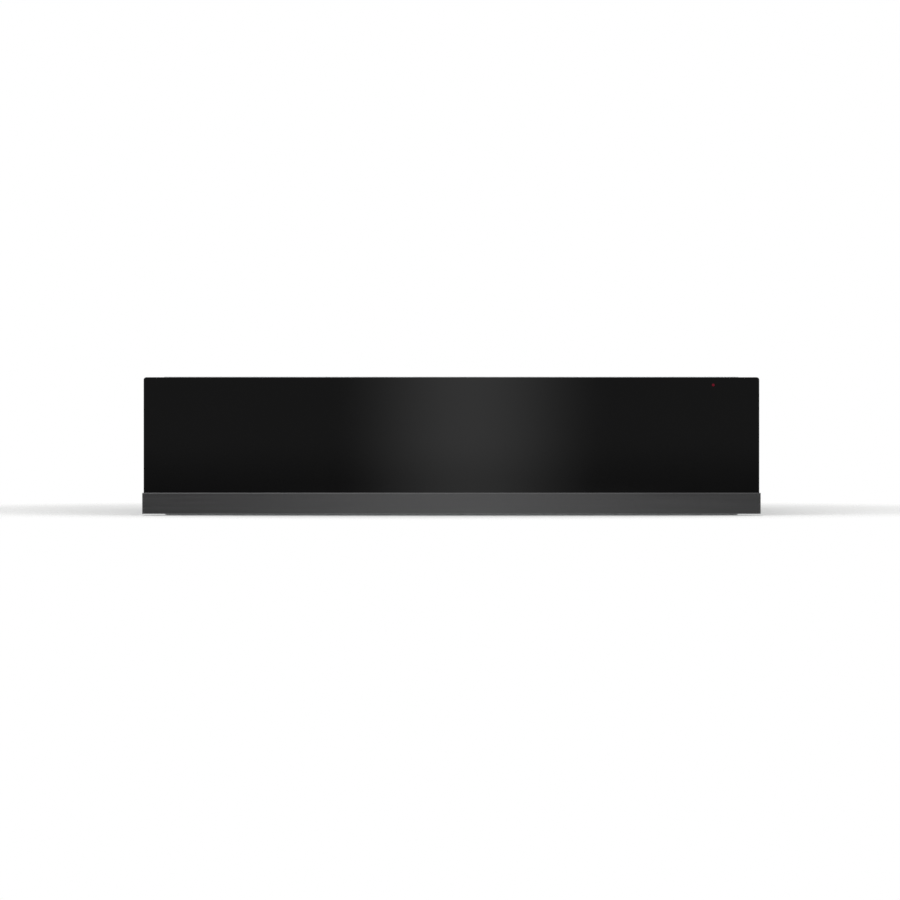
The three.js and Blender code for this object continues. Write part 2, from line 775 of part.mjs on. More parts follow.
function innerMember() {
  const tip = innerBallReach - ballRadius - 2 * seat;
  const half = [
    [runnerThick, innerPlain],
    ...race(innerBallReach, innerPlain, innerPlain - raceDepth),
    [tip, innerPlain],
  ];
  const line = upAndDown(half.reverse());
  const turnedBack = foldedSheet([...line].reverse(), runnerSheet, 0);
  const rear = runnerFront + runnerLength - 2 * runnerStagger;
  const member = prism('y', atLeft(turnedBack), runnerFront, rear);
  const face = -runnerWall + runnerThick;
  return member.subtract(screwHoles(face - runnerSheet - 1, face + 1, runnerFront, rear));
}

// A thin channel that spaces two rows of balls.
function ballCage(web, ballReach, ballRise) {
  const half = [[ballReach + ballRadius, ballRise + cageSheet / 2], [web, ballRise + cageSheet / 2]];
  const front = runnerFront + cageStart;
  let cage = prism('y', atLeft(foldedSheet(upAndDown(half), cageSheet, 0)), front, front + cageLength);
  const pitch = cageLength / ballsInRow;
  for (let i = 0; i < ballsInRow; i++) {
    for (const rise of [ballRise, -ballRise]) {
      const ball = new THREE.SphereGeometry(ballRadius, 6, 4);
      const y = front + (i + 0.5) * pitch;
      cage = cage.add(solidOf(ball.translate(-runnerWall + ballReach, y, runnerCentre + rise)));
    }
  }
  return cage;
}

// ---------------------------------------------------------------- drawer frame, tray and mat
function drawerFrame() {
  const line = [
    [-frameHalf, frameTop],
    [-frameHalf, drawerBase],
    [frameHalf, drawerBase],
    [frameHalf, frameTop],
  ];
  return prism('y', foldedSheet(line, sheet), frameFront, drawerWallBack);
}

// The opening that the fan blows through, in the tray and in the wall behind it.
function rearWindow(from, to) {
  const low = fanCentre - windowRise;
  const high = fanCentre + windowRise;
  return prism('y', roundedBox(-windowHalf, windowHalf, low, high, windowCorner), from, to);
}

// Closes the frame behind the tray.
function drawerRearWall() {
  const half = frameInside - seat;
  const low = drawerBase + sheet + seat;
  const plate = prism('y', roundedBox(-half, half, low, frameTop, bend), drawerWall, drawerWallBack);
  return plate.subtract(rearWindow(drawerWall - 1, drawerWallBack + 1));
}

// Deep-drawn: the skin runs up outside, over the rim and down inside.
function trayPan() {
  const ring = (grow, radius, z) =>
    roundedBox(-trayHalf - grow, trayHalf + grow, trayStart - grow, trayBack + grow, radius, arcSteps + 1)
      .map(([x, y]) => [x, y, z]);
  const rimRing = (z) =>
    roundedBox(-frameHalf, frameHalf, trayFront, trayBack + rearRim, 3, arcSteps + 1).map(([x, y]) => [x, y, z]);
  const fillet = (grow, radius, floor, corner) =>
    Array.from({ length: arcSteps + 1 }, (_, i) => {
      const angle = (i / arcSteps) * Math.PI / 2;
      const inset = radius * (1 - Math.sin(angle));
      return ring(grow - inset, corner - inset, floor + radius * (1 - Math.cos(angle)));
    });
  const outside = fillet(sheet, trayFillet + sheet, trayFloor - sheet, trayCorner + sheet);
  const inside = fillet(0, trayFillet, trayFloor, trayCorner).reverse();
  const pan = loft([
    ...outside,
    ring(sheet, trayCorner + sheet, rimTop - sheet),
    rimRing(rimTop - sheet),
    rimRing(rimTop),
    ring(0, trayCorner, rimTop),
    ...inside,
  ]);
  return pan.subtract(rearWindow(trayBack - 1, trayBack + sheet + 1));
}

function floorInsulation() {
  const half = frameInside - insulationMargin;
  const outline = roundedBox(-half, half, trayFront + insulationMargin, trayBack - insulationMargin, 10);
  return prism('z', outline, drawerBase + sheet + seat, trayFloor - sheet - seat);
}

// Rubber mat with a quilt of round holes.
function antiSlipMat() {
  const half = trayHalf - matMargin;
  const front = trayStart + matMargin;
  const back = trayBack - matMargin;
  const shape = shapeOf(roundedBox(-half, half, front, back, trayCorner - matMargin / 2));
  const columns = Math.floor((2 * half - matPitch) / matPitch);
  const rows = Math.floor((back - front - matPitch) / matPitch);
  const middle = (front + back) / 2;
  for (let row = 0; row <= rows; row++) {
    for (let column = 0; column <= columns; column++) {
      if ((row + column) % 2) continue;
      const x = (column - columns / 2) * matPitch;
      const y = middle + (row - rows / 2) * matPitch;
      shape.holes.push(shapeOf(circle(x, y, matHole, 6)));
    }
  }
  const low = trayFloor + seat;
  return prism('z', shape, low, low + matThick);
}

// Top plate behind the front that carries the controls.
function consolePlate() {
  const front = frameFront;
  const back = trayFront - seat;
  const line = [
    [back, rimTop - consoleLeg],
    [back, rimTop],
    [front, rimTop],
    [front, rimTop - consoleLeg],
  ];
  const legHalf = frameInside - seat;
  const under = rimTop - sheet;
  const middle = (front + back) / 2;
  const switchHole = roundedBox(
    switchX - switchLength / 2,
    switchX + switchLength / 2,
    middle - switchWidth / 2,
    middle + switchWidth / 2,
    2,
  );
  return without(
    prism('x', foldedSheet(line, sheet), -frameHalf, frameHalf),
    block(legHalf, frameHalf + 1, front - 1, back + 1, under - 2 * consoleLeg, under),
    block(-frameHalf - 1, -legHalf, front - 1, back + 1, under - 2 * consoleLeg, under),
    bar('z', knobX, middle, knobShaft + 2 * seat, under - 1, rimTop + 1, 16),
    prism('z', switchHole, under - 1, rimTop + 1),
  );
}

// ---------------------------------------------------------------- front
function frontCarrier() {
  const ring = (inset, y, corner) =>
    roundedBox(-carrierHalf + inset, carrierHalf - inset, carrierLow + inset, carrierHigh - inset, corner)
      .map(([x, z]) => [x, y, z]);
  const inner = Math.max(carrierCorner - sheet, 1);
  const pan = loft([
    ring(0, carrierBack, carrierCorner),
    ring(0, carrierFront, carrierCorner),
    ring(carrierReturn, carrierFront, 2),
    ring(carrierReturn, carrierFront + sheet, 2),
    ring(sheet, carrierFront + sheet, inner),
    ring(sheet, carrierBack - sheet, inner),
  ]);
  return pan.subtract(bar('y', pilotX, pilotZ, pilotRadius + seat, carrierFront - 1, carrierFront + sheet + 1, 12));
}

function bondingTape() {
  const edge = bondWidth / 4;
  const outline = (inset) =>
    roundedBox(-carrierHalf + inset, carrierHalf - inset, carrierLow + inset, carrierHigh - inset, carrierCorner / 2);
  const from = carrierFront - seat - bondThick;
  const to = carrierFront - seat;
  return without(
    prism('y', outline(edge), from, to),
    prism('y', outline(edge + bondWidth), from - 1, to + 1),
    bar('y', pilotX, pilotZ, pilotRadius + seat, from - 1, to + 1, 12),
  );
}

// Toughened glass with ground edges and a clear hole for the pilot light.
function glassPanel() {
  const low = trimShelf + seat + glassArris;
  const high = glassTop - glassArris;
  const half = glassHalf - glassArris;
  const outline = roundedBox(-half, half, low, high, glassCorner - glassArris);
  const body = new THREE.ExtrudeGeometry(shapeOf(outline), {
    depth: glassThick - 2 * glassArris,
    bevelEnabled: true,
    bevelThickness: glassArris,
    bevelSize: glassArris,
    bevelSegments: 1,
  });
  const glass = solidOf(body.rotateX(Math.PI / 2).translate(0, glassRear - glassArris, 0));
  return glass.subtract(bar('y', pilotX, pilotZ, pilotRadius + seat, glassFront - 1, glassRear + 1, 16));
}

// Extruded strip: a lip in front of the glass, a shelf under it and an open channel for the fingers.
function trimSection() {
  const under = trimShelf - trimLip;
  return [
    [trimFront + trimChamfer, frontBase],
    [trimFront + trimLip, frontBase],
    [trimFront + trimLip, under],
    [carrierBack - trimLip, under],
    [carrierBack - trimLip, frontBase + trimLegRaise],
    [carrierBack, frontBase + trimLegRaise],
    [carrierBack, trimShelf],
    [trimFront + trimLip, trimShelf],
    [trimFront + trimLip, trimTop],
    [trimFront + trimChamfer, trimTop],
    [trimFront, trimTop - trimChamfer],
    [trimFront, frontBase + trimChamfer],
  ];
}

function trimStrip() {
  const half = frontWidth / 2 - capThick - seat;
  return prism('x', trimSection(), -half, half);
}

// Cap with a spigot in the strip's channel; drawn for the left end.
function trimCap() {
  const end = -frontWidth / 2;
  const outline = [
    [trimFront + trimChamfer, frontBase],
    [carrierBack, frontBase],
    [carrierBack, trimShelf],
    [trimFront + trimLip, trimShelf],
    [trimFront + trimLip, trimTop],
    [trimFront + trimChamfer, trimTop],
    [trimFront, trimTop - trimChamfer],
    [trimFront, frontBase + trimChamfer],
  ];
  const spigot = block(
    end + capThick / 2,
    end + capThick + capPlug,
    trimFront + trimLip + seat,
    carrierBack - trimLip - seat,
    frontBase + trimLegRaise + seat,
    trimShelf - trimLip - seat,
  );
  return joined(prism('x', outline, end, end + capThick), spigot);
}

// Bracket that ties the drawer frame's side to the carrier; drawn for the left side.
function frontBracket() {
  const side = -frameInside + seat;
  const face = frameFront + seat;
  const line = [[side, face + bracketLeg], [side, face], [side + bracketLeg, face]];
  const low = runnerCentre - bracketHeight / 2;
  const plate = prism('z', foldedSheet(line, bracketSheet), low, low + bracketHeight);
  const holes = [0.25, 0.75].flatMap((share) => {
    const z = low + share * bracketHeight;
    return [
      prism('x', slotOutline(face + bracketLeg * 0.6, z, 10, 4.5), side - 1, side + bracketSheet + 1),
      prism('y', slotOutline(side + bracketLeg * 0.6, z, 10, 4.5, Math.PI / 2), face - 1, face + bracketSheet + 1),
    ];
  });
  return without(plate, ...holes);
}

function pilotLens() {
  const front = glassFront;
  const back = carrierFront + sheet + seat;
  const length = back - front;
  const profile = [[0, 0], [pilotRadius, 0], [pilotRadius, length - 0.3], [pilotRadius * 0.75, length], [0, length]];
  return turned(profile, [pilotX, back, pilotZ], 'front', 12);
}

function pilotLamp() {
  const from = carrierFront + sheet + 2 * seat;
  const profile = [
    [0, 0],
    [pilotLampRadius * 0.6, 0],
    [pilotLampRadius * 0.6, pilotLampLength * 0.25],
    [pilotLampRadius, pilotLampLength * 0.25],
    [pilotLampRadius, pilotLampLength],
    [0, pilotLampLength],
  ];
  return turned(profile, [pilotX, from + pilotLampLength, pilotZ], 'front', 12);
}

// ---------------------------------------------------------------- controls
const consoleMiddle = (frameFront + trayFront - seat) / 2;

function thermostatBody() {
  const top = rimTop - sheet - seat;
  const half = thermostatWidth / 2;
  const deep = thermostatDepth / 2;
  const outline = roundedBox(knobX - half, knobX + half, consoleMiddle - deep, consoleMiddle + deep, 3);
  const step = roundedBox(knobX - half + 6, knobX + half - 6, consoleMiddle - deep + 4, consoleMiddle + deep - 4, 3);
  const body = joined(
    prism('z', outline, top - thermostatHeight + 6, top),
    prism('z', step, top - thermostatHeight, top - thermostatHeight + 7),
  );
  return body.subtract(bar('z', knobX, consoleMiddle, knobShaft + seat, top - 12, top + 1, 16));
}

const knobLow = rimTop + 2 * seat;

// D-shaped shaft that the knob is pushed onto.
function thermostatShaft() {
  const low = rimTop - sheet - seat - 12 + seat;
  const high = knobLow + knobHeight * 0.7;
  const shaft = bar('z', knobX, consoleMiddle, knobShaft, low, high, 16);
  const flat = consoleMiddle + knobShaft * 0.5;
  return shaft.subtract(block(knobX - 10, knobX + 10, flat, flat + 10, rimTop + 2, high + 1));
}

// Fluted knob with a skirt, a domed cap and a raised pointer.
function thermostatKnob() {
  const high = knobLow + knobHeight;
  const grip = knobRadius * 0.8;
  const outline = Array.from({ length: knobFlutes * 3 }, (_, i) => {
    const radius = i % 3 < 2 ? grip : grip * 0.92;
    const angle = (i / (knobFlutes * 3)) * 2 * Math.PI;
    return [knobX + radius * Math.cos(angle), consoleMiddle + radius * Math.sin(angle)];
  });
  const skirt = [[0, 0], [knobRadius, 0], [knobRadius, 1.6], [grip, 3.4], [0, 3.4]];
  const cap = [[0, 0], [grip * 0.93, 0], [grip * 0.93, 0.4], [grip * 0.82, 1.1], [0, 1.3]];
  const body = joined(
    turned(skirt, [knobX, consoleMiddle, knobLow]),
    prism('z', outline, knobLow + 2, high - 1.2),
    turned(cap, [knobX, consoleMiddle, high - 1.3]),
    block(knobX - 0.9, knobX + 0.9, consoleMiddle, consoleMiddle + grip * 0.85, high - 1, high + 0.3),
  );
  return body.subtract(bar('z', knobX, consoleMiddle, knobShaft + seat, knobLow - 1, high - knobHeight * 0.25, 16));
}

// Snap-in housing: a rim on the console, an open well for the rocker and a body below.
function switchBody() {
  const half = switchLength / 2;
  const deep = switchWidth / 2;
  const outline = (grow, radius) =>
    roundedBox(switchX - half - grow, switchX + half + grow, consoleMiddle - deep - grow, consoleMiddle + deep + grow, radius);
  const rim = rimTop + seat;
  const bottom = rimTop - switchDepth;
  const blades = [-0.5, 0, 0.5].map((share) => {
    const x = switchX + share * switchLength * 0.8;
    return block(x - 0.4, x + 0.4, consoleMiddle - 2.4, consoleMiddle + 2.4, bottom - 8, bottom + 1);
  });
  const body = joined(
    prism('z', outline(-seat, 1.6), bottom, rim + 1),
    prism('z', outline(switchRim, 2.4), rim, rim + 1.8),
    ...blades,
  );
  return body.subtract(prism('z', outline(-switchRim, 1), bottom + 6, rim + 5));
}

// Rocker with two sloping pads and a pin between the housing's walls, tilted to its off side.
function switchRocker() {
  const half = switchLength / 2 - switchRim - seat - 0.4;
  const deep = switchWidth / 2 - switchRim - seat;
  const outline = [[-half, 3], [0, 1.2], [half, 3], [half, -3], [half * 0.4, -6], [-half * 0.4, -6], [-half, -3]];
  const tilt = THREE.MathUtils.degToRad(rockerTilt);
  const tilted = outline.map(([a, b]) => [
    switchX + a * Math.cos(tilt) + b * Math.sin(tilt),
    rimTop + seat - a * Math.sin(tilt) + b * Math.cos(tilt),
  ]);
  return prism('y', tilted, consoleMiddle - deep, consoleMiddle + deep);
}

// ---------------------------------------------------------------- fan heater
// Pressed cover over the window: a round eye that draws air in, and slots beside it that blow it out.
function fanGrille() {
  const halfX = windowHalf + grilleBorder;
  const halfZ = windowRise + grilleBorder;
  const rear = trayBack - seat;
  const front = rear - grilleRaise;
  const ring = (inset, y) =>
    roundedBox(-halfX + inset, halfX - inset, fanCentre - halfZ + inset, fanCentre + halfZ - inset, windowCorner)
      .map(([x, z]) => [x, y, z]);
  const cover = loft([
    ring(grilleBorder + 1, front),
    ring(grilleBorder - 1, rear - grilleSheet),
    ring(0, rear - grilleSheet),
    ring(0, rear),
    ring(grilleBorder - 1, rear),
    ring(grilleBorder + 1, front + grilleSheet),
  ]);
  const outlines = [];
  for (const { slots, from, to } of eyeRings) {
    for (let i = 0; i < slots; i++) {
      const angle = ((i + 0.5) / slots) * 2 * Math.PI;
      const middle = (from + to) / 2;
      const a = middle * Math.cos(angle);
      const b = fanCentre + middle * Math.sin(angle);
      outlines.push(slotOutline(a, b, to - from, eyeSlotWidth, angle));
    }
  }
  for (let i = 0; i < outletCount; i++) {
    for (const side of [-1, 1]) {
      const x = side * (outletStart + i * outletPitch);
      outlines.push(slotOutline(x, fanCentre, outletSlotHeight, outletSlotWidth, Math.PI / 2));
    }
  }
  const slots = joined(...outlines.map((outline) => prism('y', outline, front - 1, rear + 1)));
  return cover.subtract(slots);
}

// Box behind the drawer's rear wall that the fan and the heating element sit in, with the motor's pillars.
function airChamber() {
  const ring = (inset, y, radius) =>
    roundedBox(-chamberHalf + inset, chamberHalf - inset, chamberLow + inset, chamberTop - inset, radius)
      .map(([x, z]) => [x, y, z]);
  const box = loft([
    ring(chamberFlange - sheet, chamberBack, chamberCorner),
    ring(chamberFlange - sheet, chamberFront + sheet, chamberCorner),
    ring(0, chamberFront + sheet, 2),
    ring(0, chamberFront, 2),
    ring(chamberFlange, chamberFront, chamberCorner - sheet),
    ring(chamberFlange, chamberBack - sheet, chamberCorner - sheet),
  ]);
  const pillars = [-1, 1].flatMap((side) =>
    [-coreReach / 2, coreBack - 2 * pillarRadius].map((x) =>
      bar('y', x, fanCentre + side * pillarRise, pillarRadius, chamberBack - sheet / 2, coreFront - seat, 10)));
  const inside = chamberBack - sheet - 1;
  const outside = chamberBack + 1;
  return without(
    joined(box, ...pillars),
    bar('y', 0, fanCentre, shaftRadius + 2 * seat, inside, outside, 16),
    bar('y', -elementLeg, elementLow, elementRadius + seat, inside, outside, 12),
    bar('y', elementLeg, elementLow, elementRadius + seat, inside, outside, 12),
  );
}

// Sheathed heating loop round the impeller; its two legs leave through the chamber's back.
function heatingElement() {
  const y = (impellerFront + impellerRear) / 2;
  const legEnd = chamberBack + elementTail;
  const high = fanCentre + elementRise;
  const corners = [
    [-elementLeg, legEnd, elementLow],
    [-elementLeg, y, elementLow],
    [-elementHalf, y, elementLow],
    [-elementHalf, y, high],
    [elementHalf, y, high],
    [elementHalf, y, elementLow],
    [elementLeg, y, elementLow],
    [elementLeg, legEnd, elementLow],
  ];
  const bends = [elementLegBend, ...Array(4).fill(elementCorner), elementLegBend];
  return tubeAlong(new Route(corners, bends, 4), elementRadius);
}

function elementFlange() {
  const from = chamberBack + seat;
  const to = from + elementPlate;
  const outline = roundedBox(
    -elementPlateHalf,
    elementPlateHalf,
    elementLow - elementPlateRise,
    elementLow + elementPlateRise,
    4,
  );
  return without(
    prism('y', outline, from, to),
    bar('y', -elementLeg, elementLow, elementRadius + seat, from - 1, to + 1, 12),
    bar('y', elementLeg, elementLow, elementRadius + seat, from - 1, to + 1, 12),
  );
}

// Backplate, front ring and hub joined by blades that lean and curve backwards.
function fanImpeller() {
  const root = impellerRadius - bladeChord;
  const stations = 3;
  const sweep = THREE.MathUtils.degToRad(bladeSweep);
  const edge = (start, side) =>
    Array.from({ length: stations }, (_, i) => {
      const share = i / (stations - 1);
      const radius = root + (bladeChord - seat) * share;
      const angle = start + sweep * share ** 1.6 + (side * bladeThick) / 2 / radius;
      return [radius * Math.cos(angle), fanCentre + radius * Math.sin(angle)];
    });
  const back = impellerRear - impellerSheet;
  const ringRear = impellerFront + impellerSheet;
  const blades = Array.from({ length: bladeCount }, (_, i) => {
    const start = (i / bladeCount) * 2 * Math.PI;
    const outline = [...edge(start, 1), ...edge(start, -1).reverse()];
    return prism('y', outline, impellerFront + impellerSheet / 2, impellerRear - impellerSheet / 2);
  });
  const depth = impellerDepth;
  const hub = turned([[0, 0], [hubRadius * 1.6, 0], [hubRadius, depth * 0.3], [hubRadius * 0.7, depth * 0.6],
    [0, depth * 0.65]], [0, impellerRear, fanCentre], 'front');
  const frontRing = bar('y', 0, fanCentre, impellerRadius, impellerFront, ringRear, 28)
    .subtract(bar('y', 0, fanCentre, root, impellerFront - 1, ringRear + 1, 28));
  const wheel = joined(bar('y', 0, fanCentre, impellerRadius, back, impellerRear, 28), frontRing, hub, ...blades);
  return wheel.subtract(bar('y', 0, fanCentre, shaftRadius + seat, impellerRear - depth * 0.45, impellerRear + 1, 16));
}

const bridgeFrontFace = coreFront - seat - bridgeStand - bridgeSheet;
const bridgeRearFace = coreRear + seat + bridgeStand + bridgeSheet;

function fanShaft() {
  const front = impellerRear - impellerDepth * 0.45 + seat;
  return bar('y', 0, fanCentre, shaftRadius, front, bridgeRearFace + 2, 16);
}

function fanRotor() {
  const rotor = bar('y', 0, fanCentre, rotorRadius, coreFront - 1, coreRear + 1);
  return rotor.subtract(bar('y', 0, fanCentre, shaftRadius + seat, coreFront - 2, coreRear + 2, 12));
}

// Laminated C-shaped core: bore for the rotor, window for the coil.
function motorCore() {
  const window = [-coreReach + coreLimb, -rotorRadius - 5];
  const core = prism('y', roundedBox(-coreReach, coreBack, fanCentre - coreRise, fanCentre + coreRise, 2), coreFront, coreRear);
  const rivets = [-1, 1].map((side) =>
    bar('y', -coreReach + coreLimb / 2, fanCentre + side * (coreRise - 4), 2, coreFront - 0.8, coreRear + 0.8, 6));
  return without(
    joined(core, ...rivets),
    bar('y', 0, fanCentre, rotorRadius + rotorGap, coreFront - 1, coreRear + 1),
    block(window[0], window[1], coreFront - 1, coreRear + 1, fanCentre - coreWindow, fanCentre + coreWindow),
  );
}

// Coil on the core's long limb, between two end cheeks.
function motorCoil() {
  const x = -coreReach + coreLimb / 2;
  const y = (coreFront + coreRear) / 2;
  const half = coreWindow - seat;
  const wound = (grow, from, to) => {
    const halfX = coreLimb / 2 + seat + grow;
    const halfY = coreThick / 2 + seat + grow;
    return prism('z', roundedBox(x - halfX, x + halfX, y - halfY, y + halfY, 2), from, to);
  };
  const coil = joined(
    wound(coilThick - 1, fanCentre - half, fanCentre + half),
    wound(coilThick, fanCentre - half, fanCentre - half + 1.4),
    wound(coilThick, fanCentre + half - 1.4, fanCentre + half),
  );
  const halfX = coreLimb / 2 + seat;
  const halfY = coreThick / 2 + seat;
  return coil.subtract(block(x - halfX, x + halfX, y - halfY, y + halfY, fanCentre - half - 1, fanCentre + half + 1));
}

// Folded strap with feet on the core and a bearing for the shaft; `facing` is -1 in front, 1 behind.
function bearingBridge(facing) {
  const foot = facing < 0 ? coreFront - seat : coreRear + seat;
  const stand = foot + facing * bridgeStand;
  const inner = coreRise - bridgeFoot;
  const line = [
    [foot, fanCentre - facing * -coreRise],
    [foot, fanCentre - facing * -inner],
    [stand, fanCentre - facing * -inner],
    [stand, fanCentre + facing * -inner],
    [foot, fanCentre + facing * -inner],
    [foot, fanCentre + facing * -coreRise],
  ];
  const strap = prism('x', foldedSheet(line, bridgeSheet), -bridgeWidth / 2, bridgeWidth / 2);
  const outside = stand + facing * bridgeSheet;
  const from = Math.min(outside, stand - facing * (bearingLength - bridgeSheet));
  const to = Math.max(outside, stand - facing * (bearingLength - bridgeSheet));
  const bearing = bar('y', 0, fanCentre, bearingRadius, from, to, 16);
  return joined(strap, bearing).subtract(bar('y', 0, fanCentre, shaftRadius + seat, from - 1, to + 1, 16));
}

// Snap-disc cut-out on the chamber's back: flange, body and two blades.
function thermalCutout() {
  const from = chamberBack + seat;
  const rear = from + cutoutHeight;
  const ear = cutoutRadius + 4;
  return joined(
    prism('y', slotOutline(cutoutX, fanCentre, 2 * ear, 7), from, from + 1),
    bar('y', cutoutX, fanCentre, cutoutRadius, from, rear, 20),
    ...[-1, 1].map((side) => {
      const x = cutoutX + side * cutoutRadius * 0.5;
      return block(x - 0.4, x + 0.4, rear - 1, rear + 6, fanCentre - 2.4, fanCentre + 2.4);
    }),
  );
}

// Small angle plate that meets the plunger.
function strikerPlate() {
  const face = drawerWallBack + seat;
  const half = strikerWidth / 2;
  const low = latchZ - strikerHeight / 2;
  const outline = roundedBox(latchX - half, latchX + half, low, low + strikerHeight, 3);
  const cup = bar('y', latchX, latchZ, plungerRadius + 1.5, strikerRear - 0.8, strikerRear + 1);
  const screws = [-1, 1].map((side) =>
    bar('y', latchX + side * (half - 3.5), latchZ, 1.6, face - 1, strikerRear + 1, 10));
  return without(prism('y', outline, face, strikerRear), cup, ...screws);
}

// Multi-pole connector housing on the drawer's rear wall.
function drawerConnector() {
  const face = drawerWallBack + seat;
  const half = connectorWidth / 2;
  const rise = connectorHeight / 2;
  const flange = roundedBox(connectorX - half, connectorX + half, connectorZ - rise, connectorZ + rise, 2);
  const collar = roundedBox(connectorX - half + 3, connectorX + half - 3, connectorZ - rise + 3, connectorZ + rise - 3, 2);
  const mouth = roundedBox(connectorX - half + 5, connectorX + half - 5, connectorZ - rise + 5, connectorZ + rise - 5, 1);
  const shell = joined(prism('y', flange, face, face + 2), prism('y', collar, face + 1, face + connectorDepth))
    .subtract(prism('y', mouth, face + 2, face + connectorDepth + 1));
  const pins = Array.from({ length: connectorPins }, (_, i) => {
    const x = connectorX + (i - (connectorPins - 1) / 2) * connectorPitch;
    return block(x - 0.4, x + 0.4, face + 1, face + connectorDepth - 1, connectorZ - 3, connectorZ + 3);
  });
  return joined(shell, ...pins);
}

// Thermostat's thin tube, which runs back beside the tray to its sensor bulb.
function thermostatCapillary() {
  const x = trayHalf + sheet + seat + bulbRadius;
  const start = knobX + thermostatWidth / 2 + seat;
  const bulbFront = bulbEnd - bulbLength;
  const corners = [[start, consoleMiddle, capillaryZ], [x, consoleMiddle, capillaryZ], [x, bulbFront + 1, capillaryZ]];
  const bulb = joined(
    bar('y', x, capillaryZ, bulbRadius, bulbFront, bulbEnd - 2, 10),
    bar('y', x, capillaryZ, bulbRadius * 0.6, bulbEnd - 3, bulbEnd, 10),
  );
  return joined(tubeAlong(new Route(corners, [capillaryBend], 6), capillaryRadius), bulb);
}

// ---------------------------------------------------------------- assembly
addPiece(casing, 'casing_base', casingBase(), 'galvanised');
addPiece(casing, 'casing_rear', casingRear(), 'galvanised');
addPiece(casing, 'casing_top', casingTop(), 'galvanised');
addPiece(casing, 'mains_gland', mainsGland(), 'blackPlastic');
addPiece(casing, 'terminal_box', terminalBox(), 'whitePlastic');
addPiece(casing, 'latch_barrel', latchBarrel(), 'greyPlastic');
addPair(casing, 'runner_outer', outerMember(), 'galvanised');
addBuffers();

addPiece(drawer, 'drawer_frame', drawerFrame(), 'galvanised');
addPiece(drawer, 'drawer_rear_wall', drawerRearWall(), 'galvanised');
addPiece(drawer, 'warming_tray', trayPan(), 'stainless');
addPiece(drawer, 'floor_insulation', floorInsulation(), 'wool');
addPiece(drawer, 'anti_slip_mat', antiSlipMat(), 'rubber');
addPiece(drawer, 'control_console', consolePlate(), 'stainless');
addPiece(drawer, 'front_carrier', frontCarrier(), 'galvanised');
addPiece(drawer, 'bonding_tape', bondingTape(), 'rubber');
addPiece(drawer, 'glass_front', glassPanel(), 'blackGlass');
addPiece(drawer, 'trim_strip', trimStrip(), 'darkAluminium');
addPair(drawer, 'trim_cap', trimCap(), 'darkAluminium');
addPair(drawer, 'front_bracket', frontBracket(), 'galvanised');
addPair(drawer, 'runner_inner', innerMember(), 'galvanised');
addPiece(drawer, 'pilot_lens', pilotLens(), 'redLens');
addPiece(drawer, 'pilot_lamp', pilotLamp(), 'blackPlastic');
addPiece(drawer, 'thermostat_body', thermostatBody(), 'blackPlastic');
addPiece(drawer, 'thermostat_capillary', thermostatCapillary(), 'copper');
addPiece(drawer, 'switch_body', switchBody(), 'blackPlastic');
addPiece(drawer, 'fan_grille', fanGrille(), 'stainless');
addPiece(drawer, 'air_chamber', airChamber(), 'galvanised');
addPiece(drawer, 'heating_element', heatingElement(), 'elementSteel');
addPiece(drawer, 'element_flange', elementFlange(), 'galvanised');
addPiece(drawer, 'motor_core', motorCore(), 'lamination');
addPiece(drawer, 'motor_coil', motorCoil(), 'copper');
addPiece(drawer, 'bearing_bridge_front', bearingBridge(-1), 'galvanised');
addPiece(drawer, 'bearing_bridge_rear', bearingBridge(1), 'galvanised');
addPiece(drawer, 'thermal_cutout', thermalCutout(), 'blackPlastic');
addPiece(drawer, 'striker_plate', strikerPlate(), 'galvanised');
addPiece(drawer, 'drawer_connector', drawerConnector(), 'whitePlastic');

// What moves by itself
addPiece(drawer, 'thermostat_shaft', thermostatShaft(), 'whitePlastic');
addPiece(drawer, 'thermostat_knob', thermostatKnob(), 'blackPlastic');
addPiece(drawer, 'switch_rocker', switchRocker(), 'blackPlastic');
addPiece(drawer, 'fan_impeller', fanImpeller(), 'stainless');
addPiece(drawer, 'fan_shaft', fanShaft(), 'ballSteel');
addPiece(drawer, 'fan_rotor', fanRotor(), 'ballSteel');
addPair(casing, 'runner_middle', middleMember(), 'galvanised');
addPair(casing, 'ball_cage_outer', ballCage(outerCageWeb, outerBallReach, outerBallRise), 'ballSteel');
addPair(casing, 'ball_cage_inner', ballCage(innerCageWeb, innerBallReach, innerBallRise), 'ballSteel');
addPiece(casing, 'latch_plunger', latchPlunger(), 'greyPlastic');
addPiece(casing, 'plunger_tip', plungerTip(), 'rubber');

export default part;
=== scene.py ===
import json
import math

import bmesh
import bpy
import numpy as np
from mathutils import Matrix, Vector

